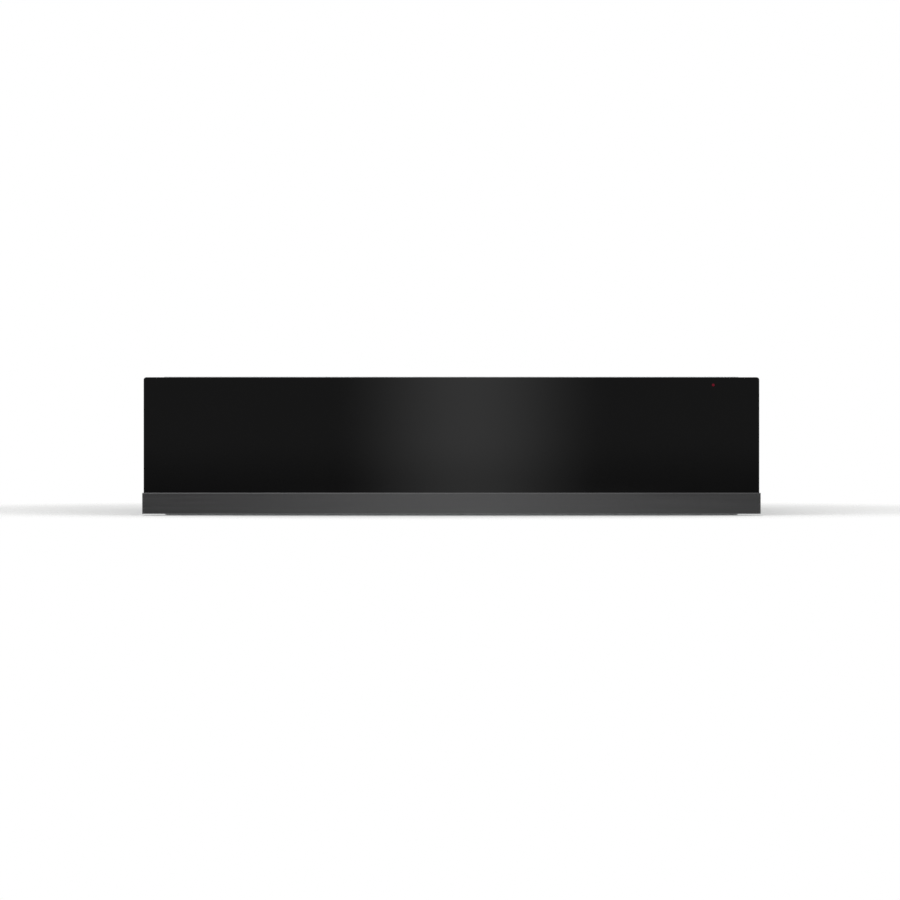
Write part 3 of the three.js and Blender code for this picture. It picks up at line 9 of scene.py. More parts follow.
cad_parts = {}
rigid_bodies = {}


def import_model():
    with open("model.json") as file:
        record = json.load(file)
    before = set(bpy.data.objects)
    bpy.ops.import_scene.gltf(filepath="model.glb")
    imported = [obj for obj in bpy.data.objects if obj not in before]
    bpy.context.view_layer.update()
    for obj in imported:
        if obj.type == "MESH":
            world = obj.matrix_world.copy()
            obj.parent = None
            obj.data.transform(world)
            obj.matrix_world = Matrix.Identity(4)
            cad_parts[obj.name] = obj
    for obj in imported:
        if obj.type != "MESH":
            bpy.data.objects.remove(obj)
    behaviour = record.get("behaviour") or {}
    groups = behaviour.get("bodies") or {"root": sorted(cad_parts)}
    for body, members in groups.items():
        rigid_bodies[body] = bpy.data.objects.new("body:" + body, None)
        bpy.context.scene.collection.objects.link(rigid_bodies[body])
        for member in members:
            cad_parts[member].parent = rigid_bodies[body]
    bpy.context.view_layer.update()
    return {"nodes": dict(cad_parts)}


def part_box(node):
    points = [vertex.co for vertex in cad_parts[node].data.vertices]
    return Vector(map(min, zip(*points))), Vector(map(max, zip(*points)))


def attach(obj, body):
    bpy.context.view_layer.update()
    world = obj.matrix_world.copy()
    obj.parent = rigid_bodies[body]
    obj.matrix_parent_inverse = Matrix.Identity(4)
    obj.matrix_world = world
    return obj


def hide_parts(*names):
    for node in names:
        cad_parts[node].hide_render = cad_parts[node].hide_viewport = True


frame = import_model()
scene = bpy.context.scene
mm = 0.001
weldGap = 2e-6           # m; points nearer than this are one
quarter = math.pi / 2


# Shapes, in millimetres. A shape is a stack of rings, worked out as one array of (ring, point, xyz).

def smoothStep(low, high, value):
    # with t the share of the way from low to high, kept between 0 and 1: t squared times (3 - 2 t)
    t = np.clip((value - low) / (high - low), 0, 1)
    return t * t * (3 - 2 * t)


def boxOf(name):
    # the low and the high corner of a CAD node
    return np.array(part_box(name)) / mm


def bodyOf(name):
    # the body that carries a CAD node: its parent is called body:NAME
    return frame["nodes"][name].parent.name.split(":")[1]


def gridFaces(rows, columns, closedRows=False, closedColumns=False):
    # each face joins a point to the next in its row and to the two below; a closed direction wraps round
    index = np.arange(rows * columns).reshape(rows, columns)
    index = np.pad(index, ((0, int(closedRows)), (0, int(closedColumns))), "wrap")
    return np.stack([index[:-1, :-1], index[:-1, 1:], index[1:, 1:], index[1:, :-1]], -1).reshape(-1, 4)


def closedStacks(stacks, looped=False):
    # points and faces of equal stacks of rings, given as (stack, ring, point, xyz). One face closes each end.
    # In a looped stack the last ring meets the first instead.
    count, rows, columns = stacks.shape[:3]
    offset = np.arange(count)[:, None, None] * rows * columns
    sides = gridFaces(rows, columns, looped, True) + offset
    ends = np.arange(columns) + np.array([[0], [(rows - 1) * columns]]) + offset
    faces = sides.reshape(-1, 4).tolist()
    return stacks.reshape(-1, 3), faces if looped else faces + ends.reshape(-1, columns).tolist()


def rectRings(low, high, levels, corner, axis=2, share=1.0, steps=10):
    # A level (inset, height) is a ring across the axis: the box's outline, drawn in by the inset, with a
    # quarter circle at each corner. A point is the circle's centre plus its radius times (cos t, sin t), and
    # the radius is the corner's, less a share of the inset.
    sideA, sideB = [k for k in range(3) if k != axis]
    middle, half = np.add(low, high) / 2, np.subtract(high, low) / 2
    inset, height = np.asarray(levels, float).T[:, :, None, None]
    radius = corner - share * inset
    t = np.linspace(0, quarter, steps + 1) + quarter * np.arange(4)[:, None]
    signA, signB = np.array([(1, -1, -1, 1), (1, 1, -1, -1)])[:, :, None]
    a = middle[sideA] + signA * (half[sideA] - inset - radius) + radius * np.cos(t)
    b = middle[sideB] + signB * (half[sideB] - inset - radius) + radius * np.sin(t)
    columns = [a, b]
    columns.insert(axis, np.broadcast_to(height, a.shape))
    return np.stack(columns, -1).reshape(len(levels), -1, 3)


def filleted(points, radii, closed=True, steps=6):
    # Each corner becomes an arc. Its centre lies on the line that halves the corner, at the radius over the
    # sine of half the angle. The arc starts square to the side before the corner and turns to the one after.
    p = np.asarray(points, float)
    r = np.maximum(np.asarray(radii, float) * np.ones(len(p)), 1e-4)[:, None]
    before = np.roll(p, 1, 0) - p
    after = np.roll(p, -1, 0) - p
    before /= np.linalg.norm(before, axis=1)[:, None]
    after /= np.linalg.norm(after, axis=1)[:, None]
    half = np.arccos(np.clip((before * after).sum(1), -1, 1))[:, None] / 2
    halving = before + after
    halving /= np.maximum(np.linalg.norm(halving, axis=1), 1e-9)[:, None]
    centre = p + halving * r / np.sin(half)
    start = (p + before * r / np.tan(half) - centre) / r
    t = np.linspace(0, 1, steps + 1)[None, :, None] * (math.pi - 2 * half)[:, None]
    arcs = centre[:, None] + r[:, None] * (np.cos(t) * start[:, None] - np.sin(t) * before[:, None])
    if not closed:
        arcs = [p[:1], *arcs[1:-1], p[-1:]]
    return np.concatenate([np.asarray(arc) for arc in arcs])


def extruded(outline, axis, start, end):
    # a flat outline, or several, set down at two places along the axis
    return np.stack([np.insert(outline, axis, place, axis=-1) for place in (start, end)], -3)


def turned(radius, height, foot, axis, sides=48):
    # A point is the foot, plus its height along the axis, plus its radius times a unit vector that turns
    # round the axis. The radius is one number for each ring, or a row of them that changes round the ring.
    v = np.arange(sides) * 2 * math.pi / sides
    axis = np.asarray(axis, float)
    first = np.cross(axis, (0, 0, 1) if abs(axis[2]) < 0.9 else (1, 0, 0))
    ring = np.cos(v)[:, None] * first + np.sin(v)[:, None] * np.cross(axis, first)
    radius = np.asarray(radius, float).reshape(len(height), -1, 1)
    return np.asarray(foot, float) + np.reshape(height, (-1, 1, 1)) * axis + radius * ring


def tubeRings(path, radius, sides=16):
    # a circle round every point of the path, square to the mean of the two steps beside it
    path = np.asarray(path, float)
    step = np.diff(path, axis=0)
    step /= np.linalg.norm(step, axis=1)[:, None]
    along = np.concatenate([step[:1], step[:-1] + step[1:], step[-1:]])
    along /= np.linalg.norm(along, axis=1)[:, None]
    first = np.cross(along, [0.45, 0.63, 0.63])
    first /= np.linalg.norm(first, axis=1)[:, None]
    second = np.cross(along, first)
    v = np.arange(sides)[:, None] * 2 * math.pi / sides
    radius = np.reshape(radius * np.ones(len(path)), (-1, 1, 1))
    return path[:, None] + radius * (np.cos(v) * first[:, None] + np.sin(v) * second[:, None])


# Meshes and pieces.

def meshOf(name, points, faces):
    mesh = bpy.data.meshes.new(name)
    mesh.from_pydata((points * mm).tolist(), [], faces)
    return mesh


def cleaned(mesh, gap=weldGap, outward=True, flat=0.0):
    # Doubles go. Where an angle is given, faces flatter to each other than that are joined, and where none
    # is, needles go. Faces turn outwards where asked.
    work = bmesh.new()
    work.from_mesh(mesh)
    bmesh.ops.remove_doubles(work, verts=work.verts, dist=gap)
    if flat:
        bmesh.ops.dissolve_limit(work, angle_limit=math.radians(flat), verts=work.verts, edges=work.edges)
    else:
        bmesh.ops.dissolve_degenerate(work, edges=work.edges, dist=gap / 2)
    if outward:
        bmesh.ops.recalc_face_normals(work, faces=work.faces)
    work.to_mesh(mesh)
    work.free()
    return mesh


def smoothed(mesh, sharp=35, flatEnds=True):
    # four-sided faces are smooth, end faces where asked, and edges past the angle stay sharp
    corners = np.empty(len(mesh.polygons), np.int32)
    mesh.polygons.foreach_get("loop_total", corners)
    mesh.polygons.foreach_set("use_smooth", (corners == 4) | (not flatEnds))
    mesh.set_sharp_from_angle(angle=math.radians(sharp))
    return mesh


def workedOut(holder):
    # a new mesh of what the object's modifiers, or its letters, make
    bpy.context.view_layer.update()
    return bpy.data.meshes.new_from_object(holder.evaluated_get(bpy.context.evaluated_depsgraph_get()))


def evenNormals(piece):
    # each normal leans to the largest face beside it, so a flat face stays flat beside its rounded edges
    old = piece.modifiers.get("even")
    if old:
        piece.modifiers.remove(old)
    piece.modifiers.new("even", "WEIGHTED_NORMAL").keep_sharp = True


def addBevel(piece, width, angle, harden=True):
    bevel = piece.modifiers.new("edge", "BEVEL")
    bevel.width = width * mm
    bevel.segments = 2
    bevel.angle_limit = math.radians(angle)
    bevel.harden_normals = harden


def addPiece(name, mesh, finish, body, replaced=()):
    mesh.materials.clear()
    mesh.materials.append(finishes[finish])
    piece = bpy.data.objects.new(name, mesh)
    scene.collection.objects.link(piece)
    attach(piece, body)
    if replaced:
        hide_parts(*replaced)
    return piece


def loftPiece(name, stacks, finish, body, replaced=(), looped=False, sharp=35, flatEnds=True):
    # one stack of rings, or several equal ones
    points, faces = closedStacks(stacks.reshape(-1, *stacks.shape[-3:]), looped)
    mesh = smoothed(cleaned(meshOf(name, points, faces)), sharp, flatEnds)
    piece = addPiece(name, mesh, finish, body, replaced)
    evenNormals(piece)
    return piece


def cutAway(piece, stacks):
    # the piece less closed stacks of rings, worked out here so that the cutter needn't stay
    cutter = bpy.data.objects.new("cutter", cleaned(meshOf("cutter", *closedStacks(stacks))))
    scene.collection.objects.link(cutter)
    piece.modifiers.clear()
    change = piece.modifiers.new("cut", "BOOLEAN")
    change.operation = "DIFFERENCE"
    change.solver = "EXACT"
    change.object = cutter
    made = workedOut(piece)
    piece.modifiers.clear()
    piece.data = smoothed(made)
    bpy.data.objects.remove(cutter)
    evenNormals(piece)


# Finishes. Each reads Object coordinates, so a pattern keeps its size on every piece.

def setInputs(tree, node, inputs):
    # an input that is another node's output is linked, and any other is set
    for key, value in inputs.items():
        if isinstance(value, bpy.types.NodeSocket):
            tree.links.new(value, node.inputs[key])
        else:
            node.inputs[key].default_value = value


def wire(tree, kind, inputs=None, output=0, **settings):
    # adds a node and gives back one of its outputs, or the node itself where it has none
    node = tree.nodes.new("ShaderNode" + kind)
    for key, value in settings.items():
        setattr(node, key, value)
    setInputs(tree, node, inputs or {})
    return node.outputs[output] if len(node.outputs) else node


def ranged(tree, value, low=0.0, high=1.0, toLow=0.0, toHigh=1.0, way="LINEAR"):
    # carries a value from one range to another and keeps it inside
    return wire(tree, "MapRange", {"Value": value, "From Min": low, "From Max": high, "To Min": toLow,
                                   "To Max": toHigh}, interpolation_type=way)


def softly(tree, *values):
    # the same, by the smooth step
    return ranged(tree, *values, way="SMOOTHSTEP")


def formula(tree, operation, *values):
    # one step of arithmetic
    return wire(tree, "Math", dict(enumerate(values)), operation=operation)


def bentCells(tree, place, look):
    # one random level for each cell; a noise, made small, is added to the place and bends the cells' borders
    bend = wire(tree, "TexNoise", {"Vector": place, "Scale": 0.8 * look["scale"], "Detail": 3.0}, "Color")
    shift = wire(tree, "VectorMath", {0: bend, "Scale": look["warp"]}, operation="SCALE")
    bent = wire(tree, "VectorMath", {0: place, 1: shift}, operation="ADD")
    cells = wire(tree, "TexVoronoi", {"Vector": bent, "Scale": look["scale"]}, "Color")
    return wire(tree, "SeparateColor", {0: cells})


def brushedPlace(tree, plain, alongX, look):
    # streaks run along x, and along y on faces that look sideways, where the normal's x squared is near 1
    alongY = wire(tree, "Mapping", {"Vector": plain, "Scale": (1, look["stretch"][0], 1)})
    sideways = wire(tree, "SeparateXYZ", {0: wire(tree, "TexCoord", output="Normal")})
    chosen = ranged(tree, formula(tree, "POWER", sideways, 2.0), *look["turnSpan"])
    return wire(tree, "Mix", {0: chosen, 4: alongX, 5: alongY}, 1, data_type="VECTOR")


plainLook = dict(field="noise", stretch=(1, 1, 1), detail=5.0, span=(0.25, 0.75), cloud=9.0,
                 cloudSpan=(0.35, 0.75), handled=0.08, handledRough=0.6, fixed={})


def makeFinish(name, look):
    # A field runs from 0 to 1 over the surface. The colour goes from dark to light with it, and the roughness
    # from low to high. A wide, faint cloud stands for handling: it makes the colour darker and, by a share of
    # that, the surface rougher. The relief is a second, finer noise.
    look = {**plainLook, **look}
    material = bpy.data.materials.new(name)
    material.use_nodes = True
    tree = material.node_tree
    plain = wire(tree, "TexCoord", output="Object")
    place = wire(tree, "Mapping", {"Vector": plain, "Scale": look["stretch"]})
    if look["field"] == "cells":
        field = bentCells(tree, place, look)
    elif look["field"] == "bands":
        field = wire(tree, "TexWave", {"Vector": place, "Scale": look["scale"], "Distortion": 0.4,
                                       "Detail": 2.0}, "Fac", bands_direction=look["along"])
    else:
        if look["field"] == "brushed":
            place = brushedPlace(tree, plain, place, look)
        field = wire(tree, "TexNoise", {"Vector": place, "Scale": look["scale"], "Detail": look["detail"]})
    spread = ranged(tree, field, *look["span"])
    dark, light = (*look["dark"], 1), (*look["light"], 1)
    colour = wire(tree, "Mix", {0: spread, 6: dark, 7: light}, 2, data_type="RGBA")
    cloud = wire(tree, "TexNoise", {"Vector": plain, "Scale": look["cloud"], "Detail": 4.0, "Roughness": 0.6})
    handled = ranged(tree, cloud, *look["cloudSpan"], 0.0, look["handled"])
    kept = formula(tree, "SUBTRACT", 1.0, handled)
    rough = ranged(tree, spread, 0.0, 1.0, *look["rough"])
    grain = wire(tree, "TexNoise", {"Vector": place, "Scale": look["grain"], "Detail": 3.0})
    relief = wire(tree, "Bump", {"Strength": 1.0, "Distance": look["bump"] * mm, "Height": grain})
    if look["field"] == "bands":
        relief = wire(tree, "Bump", {"Strength": 1.0, "Distance": look["ridge"] * mm, "Height": field,
                                     "Normal": relief})
    setInputs(tree, tree.nodes["Principled BSDF"], {
        "Base Color": wire(tree, "VectorMath", {0: colour, "Scale": kept}, operation="SCALE"),
        "Roughness": formula(tree, "MULTIPLY_ADD", handled, look["handledRough"], rough),
        "Normal": relief, **look["fixed"]})
    return material


finishLooks = {
    "galvanised": dict(field="cells", scale=300, warp=0.003, span=(0, 1), dark=(0.49, 0.51, 0.52),
                       light=(0.58, 0.60, 0.61), rough=(0.32, 0.42), grain=900, bump=0.003,
                       fixed={"Metallic": 0.9}),
    "runnerSteel": dict(scale=40, stretch=(1, 0.2, 1), dark=(0.52, 0.53, 0.55), light=(0.68, 0.69, 0.70),
                        rough=(0.22, 0.34), grain=700, bump=0.003, fixed={"Metallic": 0.95}),
    "stainless": dict(field="brushed", scale=1100, stretch=(0.012, 1, 1), turnSpan=(0.35, 0.65), detail=4.0,
                      dark=(0.59, 0.59, 0.585), light=(0.67, 0.67, 0.66), rough=(0.25, 0.29), grain=1400,
                      bump=0.001, fixed={"Metallic": 1.0}),
    "blackGlass": dict(scale=14, dark=(0.0012, 0.0012, 0.0013), light=(0.0018, 0.0018, 0.0019),
                       rough=(0.012, 0.03), grain=30, bump=0.0004, handled=0.01, fixed={"IOR": 1.5}),
    "darkAluminium": dict(scale=420, stretch=(0.03, 1, 1), dark=(0.195, 0.195, 0.198),
                          light=(0.225, 0.225, 0.228), rough=(0.14, 0.18), grain=900, bump=0.0012,
                          handled=0.02, fixed={"Metallic": 0.97}),
    "blackPlastic": dict(scale=90, dark=(0.012, 0.012, 0.013), light=(0.022, 0.022, 0.023),
                         rough=(0.40, 0.55), grain=1600, bump=0.02),
    "greyPlastic": dict(scale=90, dark=(0.13, 0.135, 0.145), light=(0.18, 0.19, 0.20), rough=(0.42, 0.58),
                        grain=1400, bump=0.02),
    "whitePlastic": dict(scale=70, dark=(0.70, 0.69, 0.65), light=(0.79, 0.78, 0.74), rough=(0.38, 0.52),
                         grain=1200, bump=0.015),
    "rubber": dict(scale=120, dark=(0.022, 0.022, 0.023), light=(0.036, 0.036, 0.037), rough=(0.40, 0.54),
                   grain=1100, bump=0.015),
    "redLens": dict(scale=1500, dark=(0.10, 0.004, 0.010), light=(0.16, 0.007, 0.017), rough=(0.10, 0.18),
                    grain=2500, bump=0.004, fixed={"Specular IOR Level": 0.2, "Emission Strength": 0.035,
                                                   "Emission Color": (0.9, 0.03, 0.12, 1)}),
    "wool": dict(scale=320, stretch=(1, 1, 2.5), dark=(0.50, 0.46, 0.36), light=(0.78, 0.74, 0.62),
                 rough=(0.85, 1.0), grain=1500, bump=0.5, fixed={"Sheen Weight": 0.3}),
    "elementSteel": dict(scale=28, dark=(0.07, 0.055, 0.045), light=(0.20, 0.16, 0.13), rough=(0.34, 0.52),
                         grain=900, bump=0.006, fixed={"Metallic": 0.9}),
    "lamination": dict(field="bands", along="Y", scale=620, span=(0, 1), dark=(0.10, 0.10, 0.11),
                       light=(0.26, 0.26, 0.28), rough=(0.40, 0.60), grain=900, bump=0.01, ridge=0.08,
                       fixed={"Metallic": 0.8}),
    "copper": dict(scale=60, dark=(0.40, 0.15, 0.06), light=(0.62, 0.27, 0.12), rough=(0.26, 0.40), grain=900,
                   bump=0.003, fixed={"Metallic": 0.95}),
    "ballSteel": dict(scale=200, dark=(0.60, 0.61, 0.62), light=(0.72, 0.73, 0.74), rough=(0.08, 0.14),
                      grain=1500, bump=0.0008, fixed={"Metallic": 1.0}),
    "darkPaint": dict(scale=400, dark=(0.018, 0.018, 0.019), light=(0.03, 0.03, 0.031), rough=(0.45, 0.60),
                      grain=1800, bump=0.004),
    "whitePaint": dict(scale=400, dark=(0.66, 0.66, 0.64), light=(0.78, 0.78, 0.76), rough=(0.45, 0.60),
                       grain=1800, bump=0.004),
}
finishes = {name: makeFinish(name, look) for name, look in finishLooks.items()}
print("finishes: %d" % len(finishes))

# CAD nodes that keep their shape: finish, radius of their edges in mm, names.
keptLooks = [
    ("galvanised", 0.3, "drawer_frame element_flange"),
    ("runnerSteel", 0.2, "runner_middle_left runner_middle_right runner_inner_left runner_inner_right "
                         "runner_outer_left runner_outer_right"),
    ("darkAluminium", 0.15, "trim_cap_left trim_cap_right"),
    ("rubber", 0.2, "bonding_tape"),
    ("wool", 1.2, "floor_insulation"),
]
for finish, edge, names in keptLooks:
    for name in names.split():
        node = frame["nodes"][name]
        node.data.materials.clear()
        node.data.materials.append(finishes[finish])
        node.modifiers.new("weld", "WELD").merge_threshold = weldGap
        addBevel(node, edge, 30, harden=False)

# CAD nodes that are shown by a merged copy, smooth over its curves: finish, radius of the edges in mm, the
# steepest angle that is still a curve, names.
copiedLooks = [
    ("galvanised", 0.25, 50, "casing_base casing_rear drawer_rear_wall front_carrier air_chamber "
                             "striker_plate bearing_bridge_front bearing_bridge_rear front_bracket_left "
                             "front_bracket_right"),
    ("stainless", 0.25, 50, "control_console"),
    ("stainless", 0, 50, "fan_impeller"),
    ("blackPlastic", 0.25, 40, "thermostat_body switch_body switch_rocker thermal_cutout pilot_lamp"),
    ("greyPlastic", 0.3, 40, "latch_barrel latch_plunger"),
    ("whitePlastic", 0.3, 40, "terminal_box drawer_connector thermostat_shaft"),
    ("rubber", 0.3, 40, "plunger_tip"),
    ("lamination", 0.1, 40, "motor_core fan_rotor"),
    ("ballSteel", 0.2, 40, "fan_shaft"),
]
for finish, edge, curve, names in copiedLooks:
    for name in names.split():
        mesh = cleaned(frame["nodes"][name].data.copy(), outward=False, flat=0.5)
        mesh.shade_smooth()
        mesh.set_sharp_from_angle(angle=math.radians(curve))
        shown = addPiece("shown_" + name, mesh, finish, bodyOf(name), [name])
        if edge:
            addBevel(shown, edge, curve)
print("nodes dressed: %d kept, %d copied" % (sum(len(look[-1].split()) for look in keptLooks),
                                            sum(len(look[-1].split()) for look in copiedLooks)))

# The front: glass, strip and pilot light.
glassLook = dict(corner=2.6, arris=0.35, holeRadius=1.45, holeSides=32, cutPast=1.0)


def makeGlass(look):
    # one rounded rectangle, drawn in by the arris at the front and back faces, with a round hole for the lens
    low, high = boxOf("glass_front")
    front, back, arris, r = low[1], high[1], look["arris"], look["holeRadius"]
    levels = [(arris, front), (0, front + arris), (0, back - arris), (arris, back)]
    rings = rectRings(low, high, levels, look["corner"], axis=1, steps=8)
    glass = loftPiece("glassPanel", rings, "blackGlass", "drawer", ["glass_front"])
    lensX, lensZ = boxOf("pilot_lens").mean(0)[[0, 2]]
    past = look["cutPast"]
    hole = turned([r, r], [0, back - front + 2 * past], (lensX, front - past, lensZ), (0, 1, 0),
                  look["holeSides"])
    cutAway(glass, hole[None])


trimLook = dict(lip=1.6, pocket=6.0, legRaise=3.0, edge=0.55, inner=0.35, reach=0.25)


def makeTrim(look):
    # the strip's section, each corner rounded, carried along x; it reaches a little into the caps' gaps
    (x0, y0, z0), (x1, y1, z1) = boxOf("trim_strip")
    lip, edge, inner, reach = look["lip"], look["edge"], look["inner"], look["reach"]
    shelf = z1 - look["pocket"]
    under = shelf - lip
    leg = z0 + look["legRaise"]
    y, z, radius = np.transpose([
        (y0, z0, edge), (y0 + lip, z0, inner), (y0 + lip, under, inner), (y1 - lip, under, inner),
        (y1 - lip, leg, inner), (y1, leg, inner), (y1, shelf, edge), (y0 + lip, shelf, inner),
        (y0 + lip, z1, inner), (y0, z1, edge)])
    section = filleted(np.stack([y, z], -1), radius)
    loftPiece("trimStrip", extruded(section, 0, x0 - reach, x1 + reach), "darkAluminium", "drawer",
              ["trim_strip"])


lensLook = dict(dome=0.22, flat=0.12, rings=9, sides=32)


def makePilotLens(look):
    # turned about y: a straight side, then radius times cos t and dome times sin t, with a small flat tip
    (x0, y0, z0), (x1, y1, z1) = boxOf("pilot_lens")
    t = np.linspace(0, quarter - look["flat"], look["rings"])
    radius = np.append(1, np.cos(t)) * (x1 - x0) / 2
    height = np.append(0, y1 - y0 - look["dome"] + look["dome"] * np.sin(t))
    rings = turned(radius, height, ((x0 + x1) / 2, y1, (z0 + z1) / 2), (0, -1, 0), look["sides"])
    loftPiece("pilotLens", rings, "redLens", "drawer", ["pilot_lens"])


makeGlass(glassLook)
makeTrim(trimLook)
makePilotLens(lensLook)
print("front: glass, strip and pilot lens")

# The casing's cover, one folded sheet with beads pressed into it.
coverLook = dict(fold=5.0, radius=2.5, notch=12.3, sheet=1.0, beads=4, beadPitch=120.0, beadHalf=216.0,
                 beadWidth=8.5, beadFlat=3.0, beadDepth=1.2, acrossRows=18, endRows=20, endSpan=(-18, 4),
                 middleHalf=190, middleRows=9)


def makeCover(look):
    # A grid over x and the folded section. The height is the section's, less the bead's depth: full as far as
    # beadFlat from a bead's line, and down to none at beadWidth by the smooth step.
    (x0, y0, z0), (x1, y1, z1) = boxOf("casing_top")
    r, notch, wide = look["radius"], look["notch"], look["beadWidth"]
    t = np.linspace(0, quarter, 7)
    lines = look["beadPitch"] * (np.arange(look["beads"]) - (look["beads"] - 1) / 2)
    across = lines[:, None] + np.linspace(-wide, wide, look["acrossRows"])
    flat = np.unique([y0 + r, y1 - r, *across.ravel()])
    front = np.stack([y0 + r - r * np.cos(t), z1 - r + r * np.sin(t)], -1)
    back = front[::-1] * [-1, 1] + [y0 + y1, 0]
    foot = z1 - look["fold"]
    top = np.stack([flat, np.full(len(flat), z1)], -1)
    section = np.concatenate([[(y0, foot)], front[:-1], top, back[1:], [(y1, foot)]])
    ends = look["beadHalf"] + np.linspace(*look["endSpan"], look["endRows"])
    middle = np.linspace(-look["middleHalf"], look["middleHalf"], look["middleRows"])
    x = np.unique([x0, x0 + notch, x1 - notch, x1, *-ends, *ends, *middle])
    past = np.maximum(np.abs(x) - (look["beadHalf"] - wide), 0)
    away = np.hypot(past, np.abs(section[:, :1] - lines).min(1, keepdims=True))
    depth = look["beadDepth"] * (1 - smoothStep(look["beadFlat"], wide, away))
    points = np.stack(np.broadcast_arrays(x, section[:, :1], section[:, 1:] - depth), -1)
    faces = gridFaces(len(section), len(x))
    centres = points.reshape(-1, 3)[faces].mean(1)
    notched = (centres[:, 2] < z1 - look["sheet"]) & (np.abs(centres[:, 0]) > x1 - notch)
    notched &= (centres[:, 1] < y0 + r) | (centres[:, 1] > y1 - r)
    mesh = cleaned(meshOf("topCover", points.reshape(-1, 3), faces[~notched].tolist()), outward=False)
    cover = addPiece("topCover", smoothed(mesh), "galvanised", "casing", ["casing_top"])
    wall = cover.modifiers.new("sheet", "SOLIDIFY")
    wall.thickness = look["sheet"] * mm
    wall.offset = -1
    evenNormals(cover)


makeCover(coverLook)

# Turned rubber and plastic pieces of the casing.
bufferLook = dict(shoulder=1.7, crown=3.5, tip=0.2, radii=(0, 1.0, 0.8, 0.3, 0), sides=36)


def makeBuffers(look):
    # turned about y: a low cone between the crown and the shoulder, with each corner rounded
    tip = look["tip"]
    for side in ("left", "right"):
        for level in ("lower", "upper"):
            node = "closing_buffer_%s_%s" % (level, side)
            (x0, y0, z0), (x1, y1, z1) = boxOf(node)
            wide, tall = (x1 - x0) / 2, y1 - y0
            corners = [(tip, tall), (look["crown"], tall), (wide, look["shoulder"]), (wide, 0), (tip, 0)]
            radius, height = filleted(corners, look["radii"], closed=False)[::-1].T
            rings = turned(radius, height, ((x0 + x1) / 2, y1, (z0 + z1) / 2), (0, -1, 0), look["sides"])
            loftPiece("buffer_%s_%s" % (level, side), rings, "rubber", "casing", [node])


glandLook = dict(bore=4.6, neck=8.0, thick=3.5, edge=1.3, boreEdge=0.9, flutes=16, fluteDepth=0.5, sides=96)


def makeGland(look):
    # A closed section turned about y. The outer head's radius is less by the flute's depth times the square
    # of cos(flutes x v), where that cosine is above 0.
    (x0, y0, z0), (x1, y1, z1) = boxOf("mains_gland")
    head, tall, thick = (x1 - x0) / 2, y1 - y0, look["thick"]
    bore, neck, soft, sides = look["bore"], look["neck"], look["boreEdge"], look["sides"]
    r, h, fillet = np.transpose([
        (bore, 0, soft), (head, 0, 0.5), (head, thick, 0.5), (neck, thick, 0.2), (neck, tall - thick, 0.2),
        (head, tall - thick, 0.4), (head, tall, look["edge"]), (bore, tall, soft)])
    radius, height = filleted(np.stack([r, h], -1), fillet, steps=4).T
    v = np.arange(sides) * 2 * math.pi / sides
    flute = look["fluteDepth"] * np.maximum(np.cos(look["flutes"] * v), 0) ** 2
    outer = smoothStep(tall - thick, tall - thick + 0.5, height) * smoothStep(neck, head, radius)
    rings = turned(radius[:, None] - outer[:, None] * flute, height, ((x0 + x1) / 2, y0, (z0 + z1) / 2),
                   (0, 1, 0), sides)
    loftPiece("mainsGland", rings, "blackPlastic", "casing", ["mains_gland"], looped=True)


makeBuffers(bufferLook)
makeGland(glandLook)
print("casing: cover, buffers and mains gland")

# The tray, deep-drawn from one sheet, with a window in its rear wall.
trayLook = dict(inside=253.0, insideFront=-203.5, insideBack=160.0, corner=18.0, fillet=6.0, sheet=1.0,
                rimEdge=2.2, rimCorner=4.0, rimArris=0.25, windowHalf=112.0, windowRise=28.0,
                windowCorner=8.0, windowPast=(1.5, 2.0), bendSteps=8, cornerSteps=14)


def makeTray(look):
    # Rounded rectangles go up the outside, over the rim and down the inside. Round a bend of radius r the
    # inset and the height change by r (1 - sin t), r (1 - cos t) or r sin t.
    low, high = boxOf("warming_tray")
    base, rim, steps = low[2], high[2], look["cornerSteps"]
    wellLow = (-look["inside"], look["insideFront"], 0)
    wellHigh = (look["inside"], look["insideBack"], 0)
    sheet, edge, fillet, arris = look["sheet"], look["rimEdge"], look["fillet"], look["rimArris"]
    t = np.linspace(0, quarter, look["bendSteps"])
    down, up = 1 - np.sin(t), 1 - np.cos(t)
    bends = [((fillet + sheet) * down - sheet, base + (fillet + sheet) * up),       # up the outside
             (-sheet - edge * up, rim - sheet - edge * down),                       # out under the rim
             (-(edge + sheet) * up[::-1], rim - (edge + sheet) * down[::-1]),       # in over the rim
             (fillet * down[::-1], base + sheet + fillet * up[::-1])]               # down the inside
    wells = [rectRings(wellLow, wellHigh, np.stack(bend, -1), look["corner"], steps=steps) for bend in bends]
    flange = [(arris, rim - sheet), (0, rim - sheet + arris), (0, rim - arris), (arris, rim)]
    border = rectRings(low, high, flange, look["rimCorner"], steps=steps)
    rings = np.concatenate([*wells[:2], border, *wells[2:]])
    tray = loftPiece("warmingTray", rings, "stainless", "drawer", ["warming_tray"], sharp=40)
    centre = boxOf("fan_shaft")[:, 2].mean()
    back, half, rise = look["insideBack"], look["windowHalf"], look["windowRise"]
    before, behind = look["windowPast"]
    window = rectRings((-half, 0, centre - rise), (half, 0, centre + rise),
                       [(0, back - before), (0, back + sheet + behind)], look["windowCorner"], axis=1,
                       steps=8)
    cutAway(tray, window[None])


makeTray(trayLook)

# Rubber mat: round holes in a staggered pattern, small studs between them.
matLook = dict(corner=13.0, edge=0.8, hole=8.0, holeEdge=0.6, pitch=50.0, studPitch=10.0, studRadius=2.3,
               studHigh=1.1, studClear=3.0, studSink=0.02, studSides=8, holeSides=40)


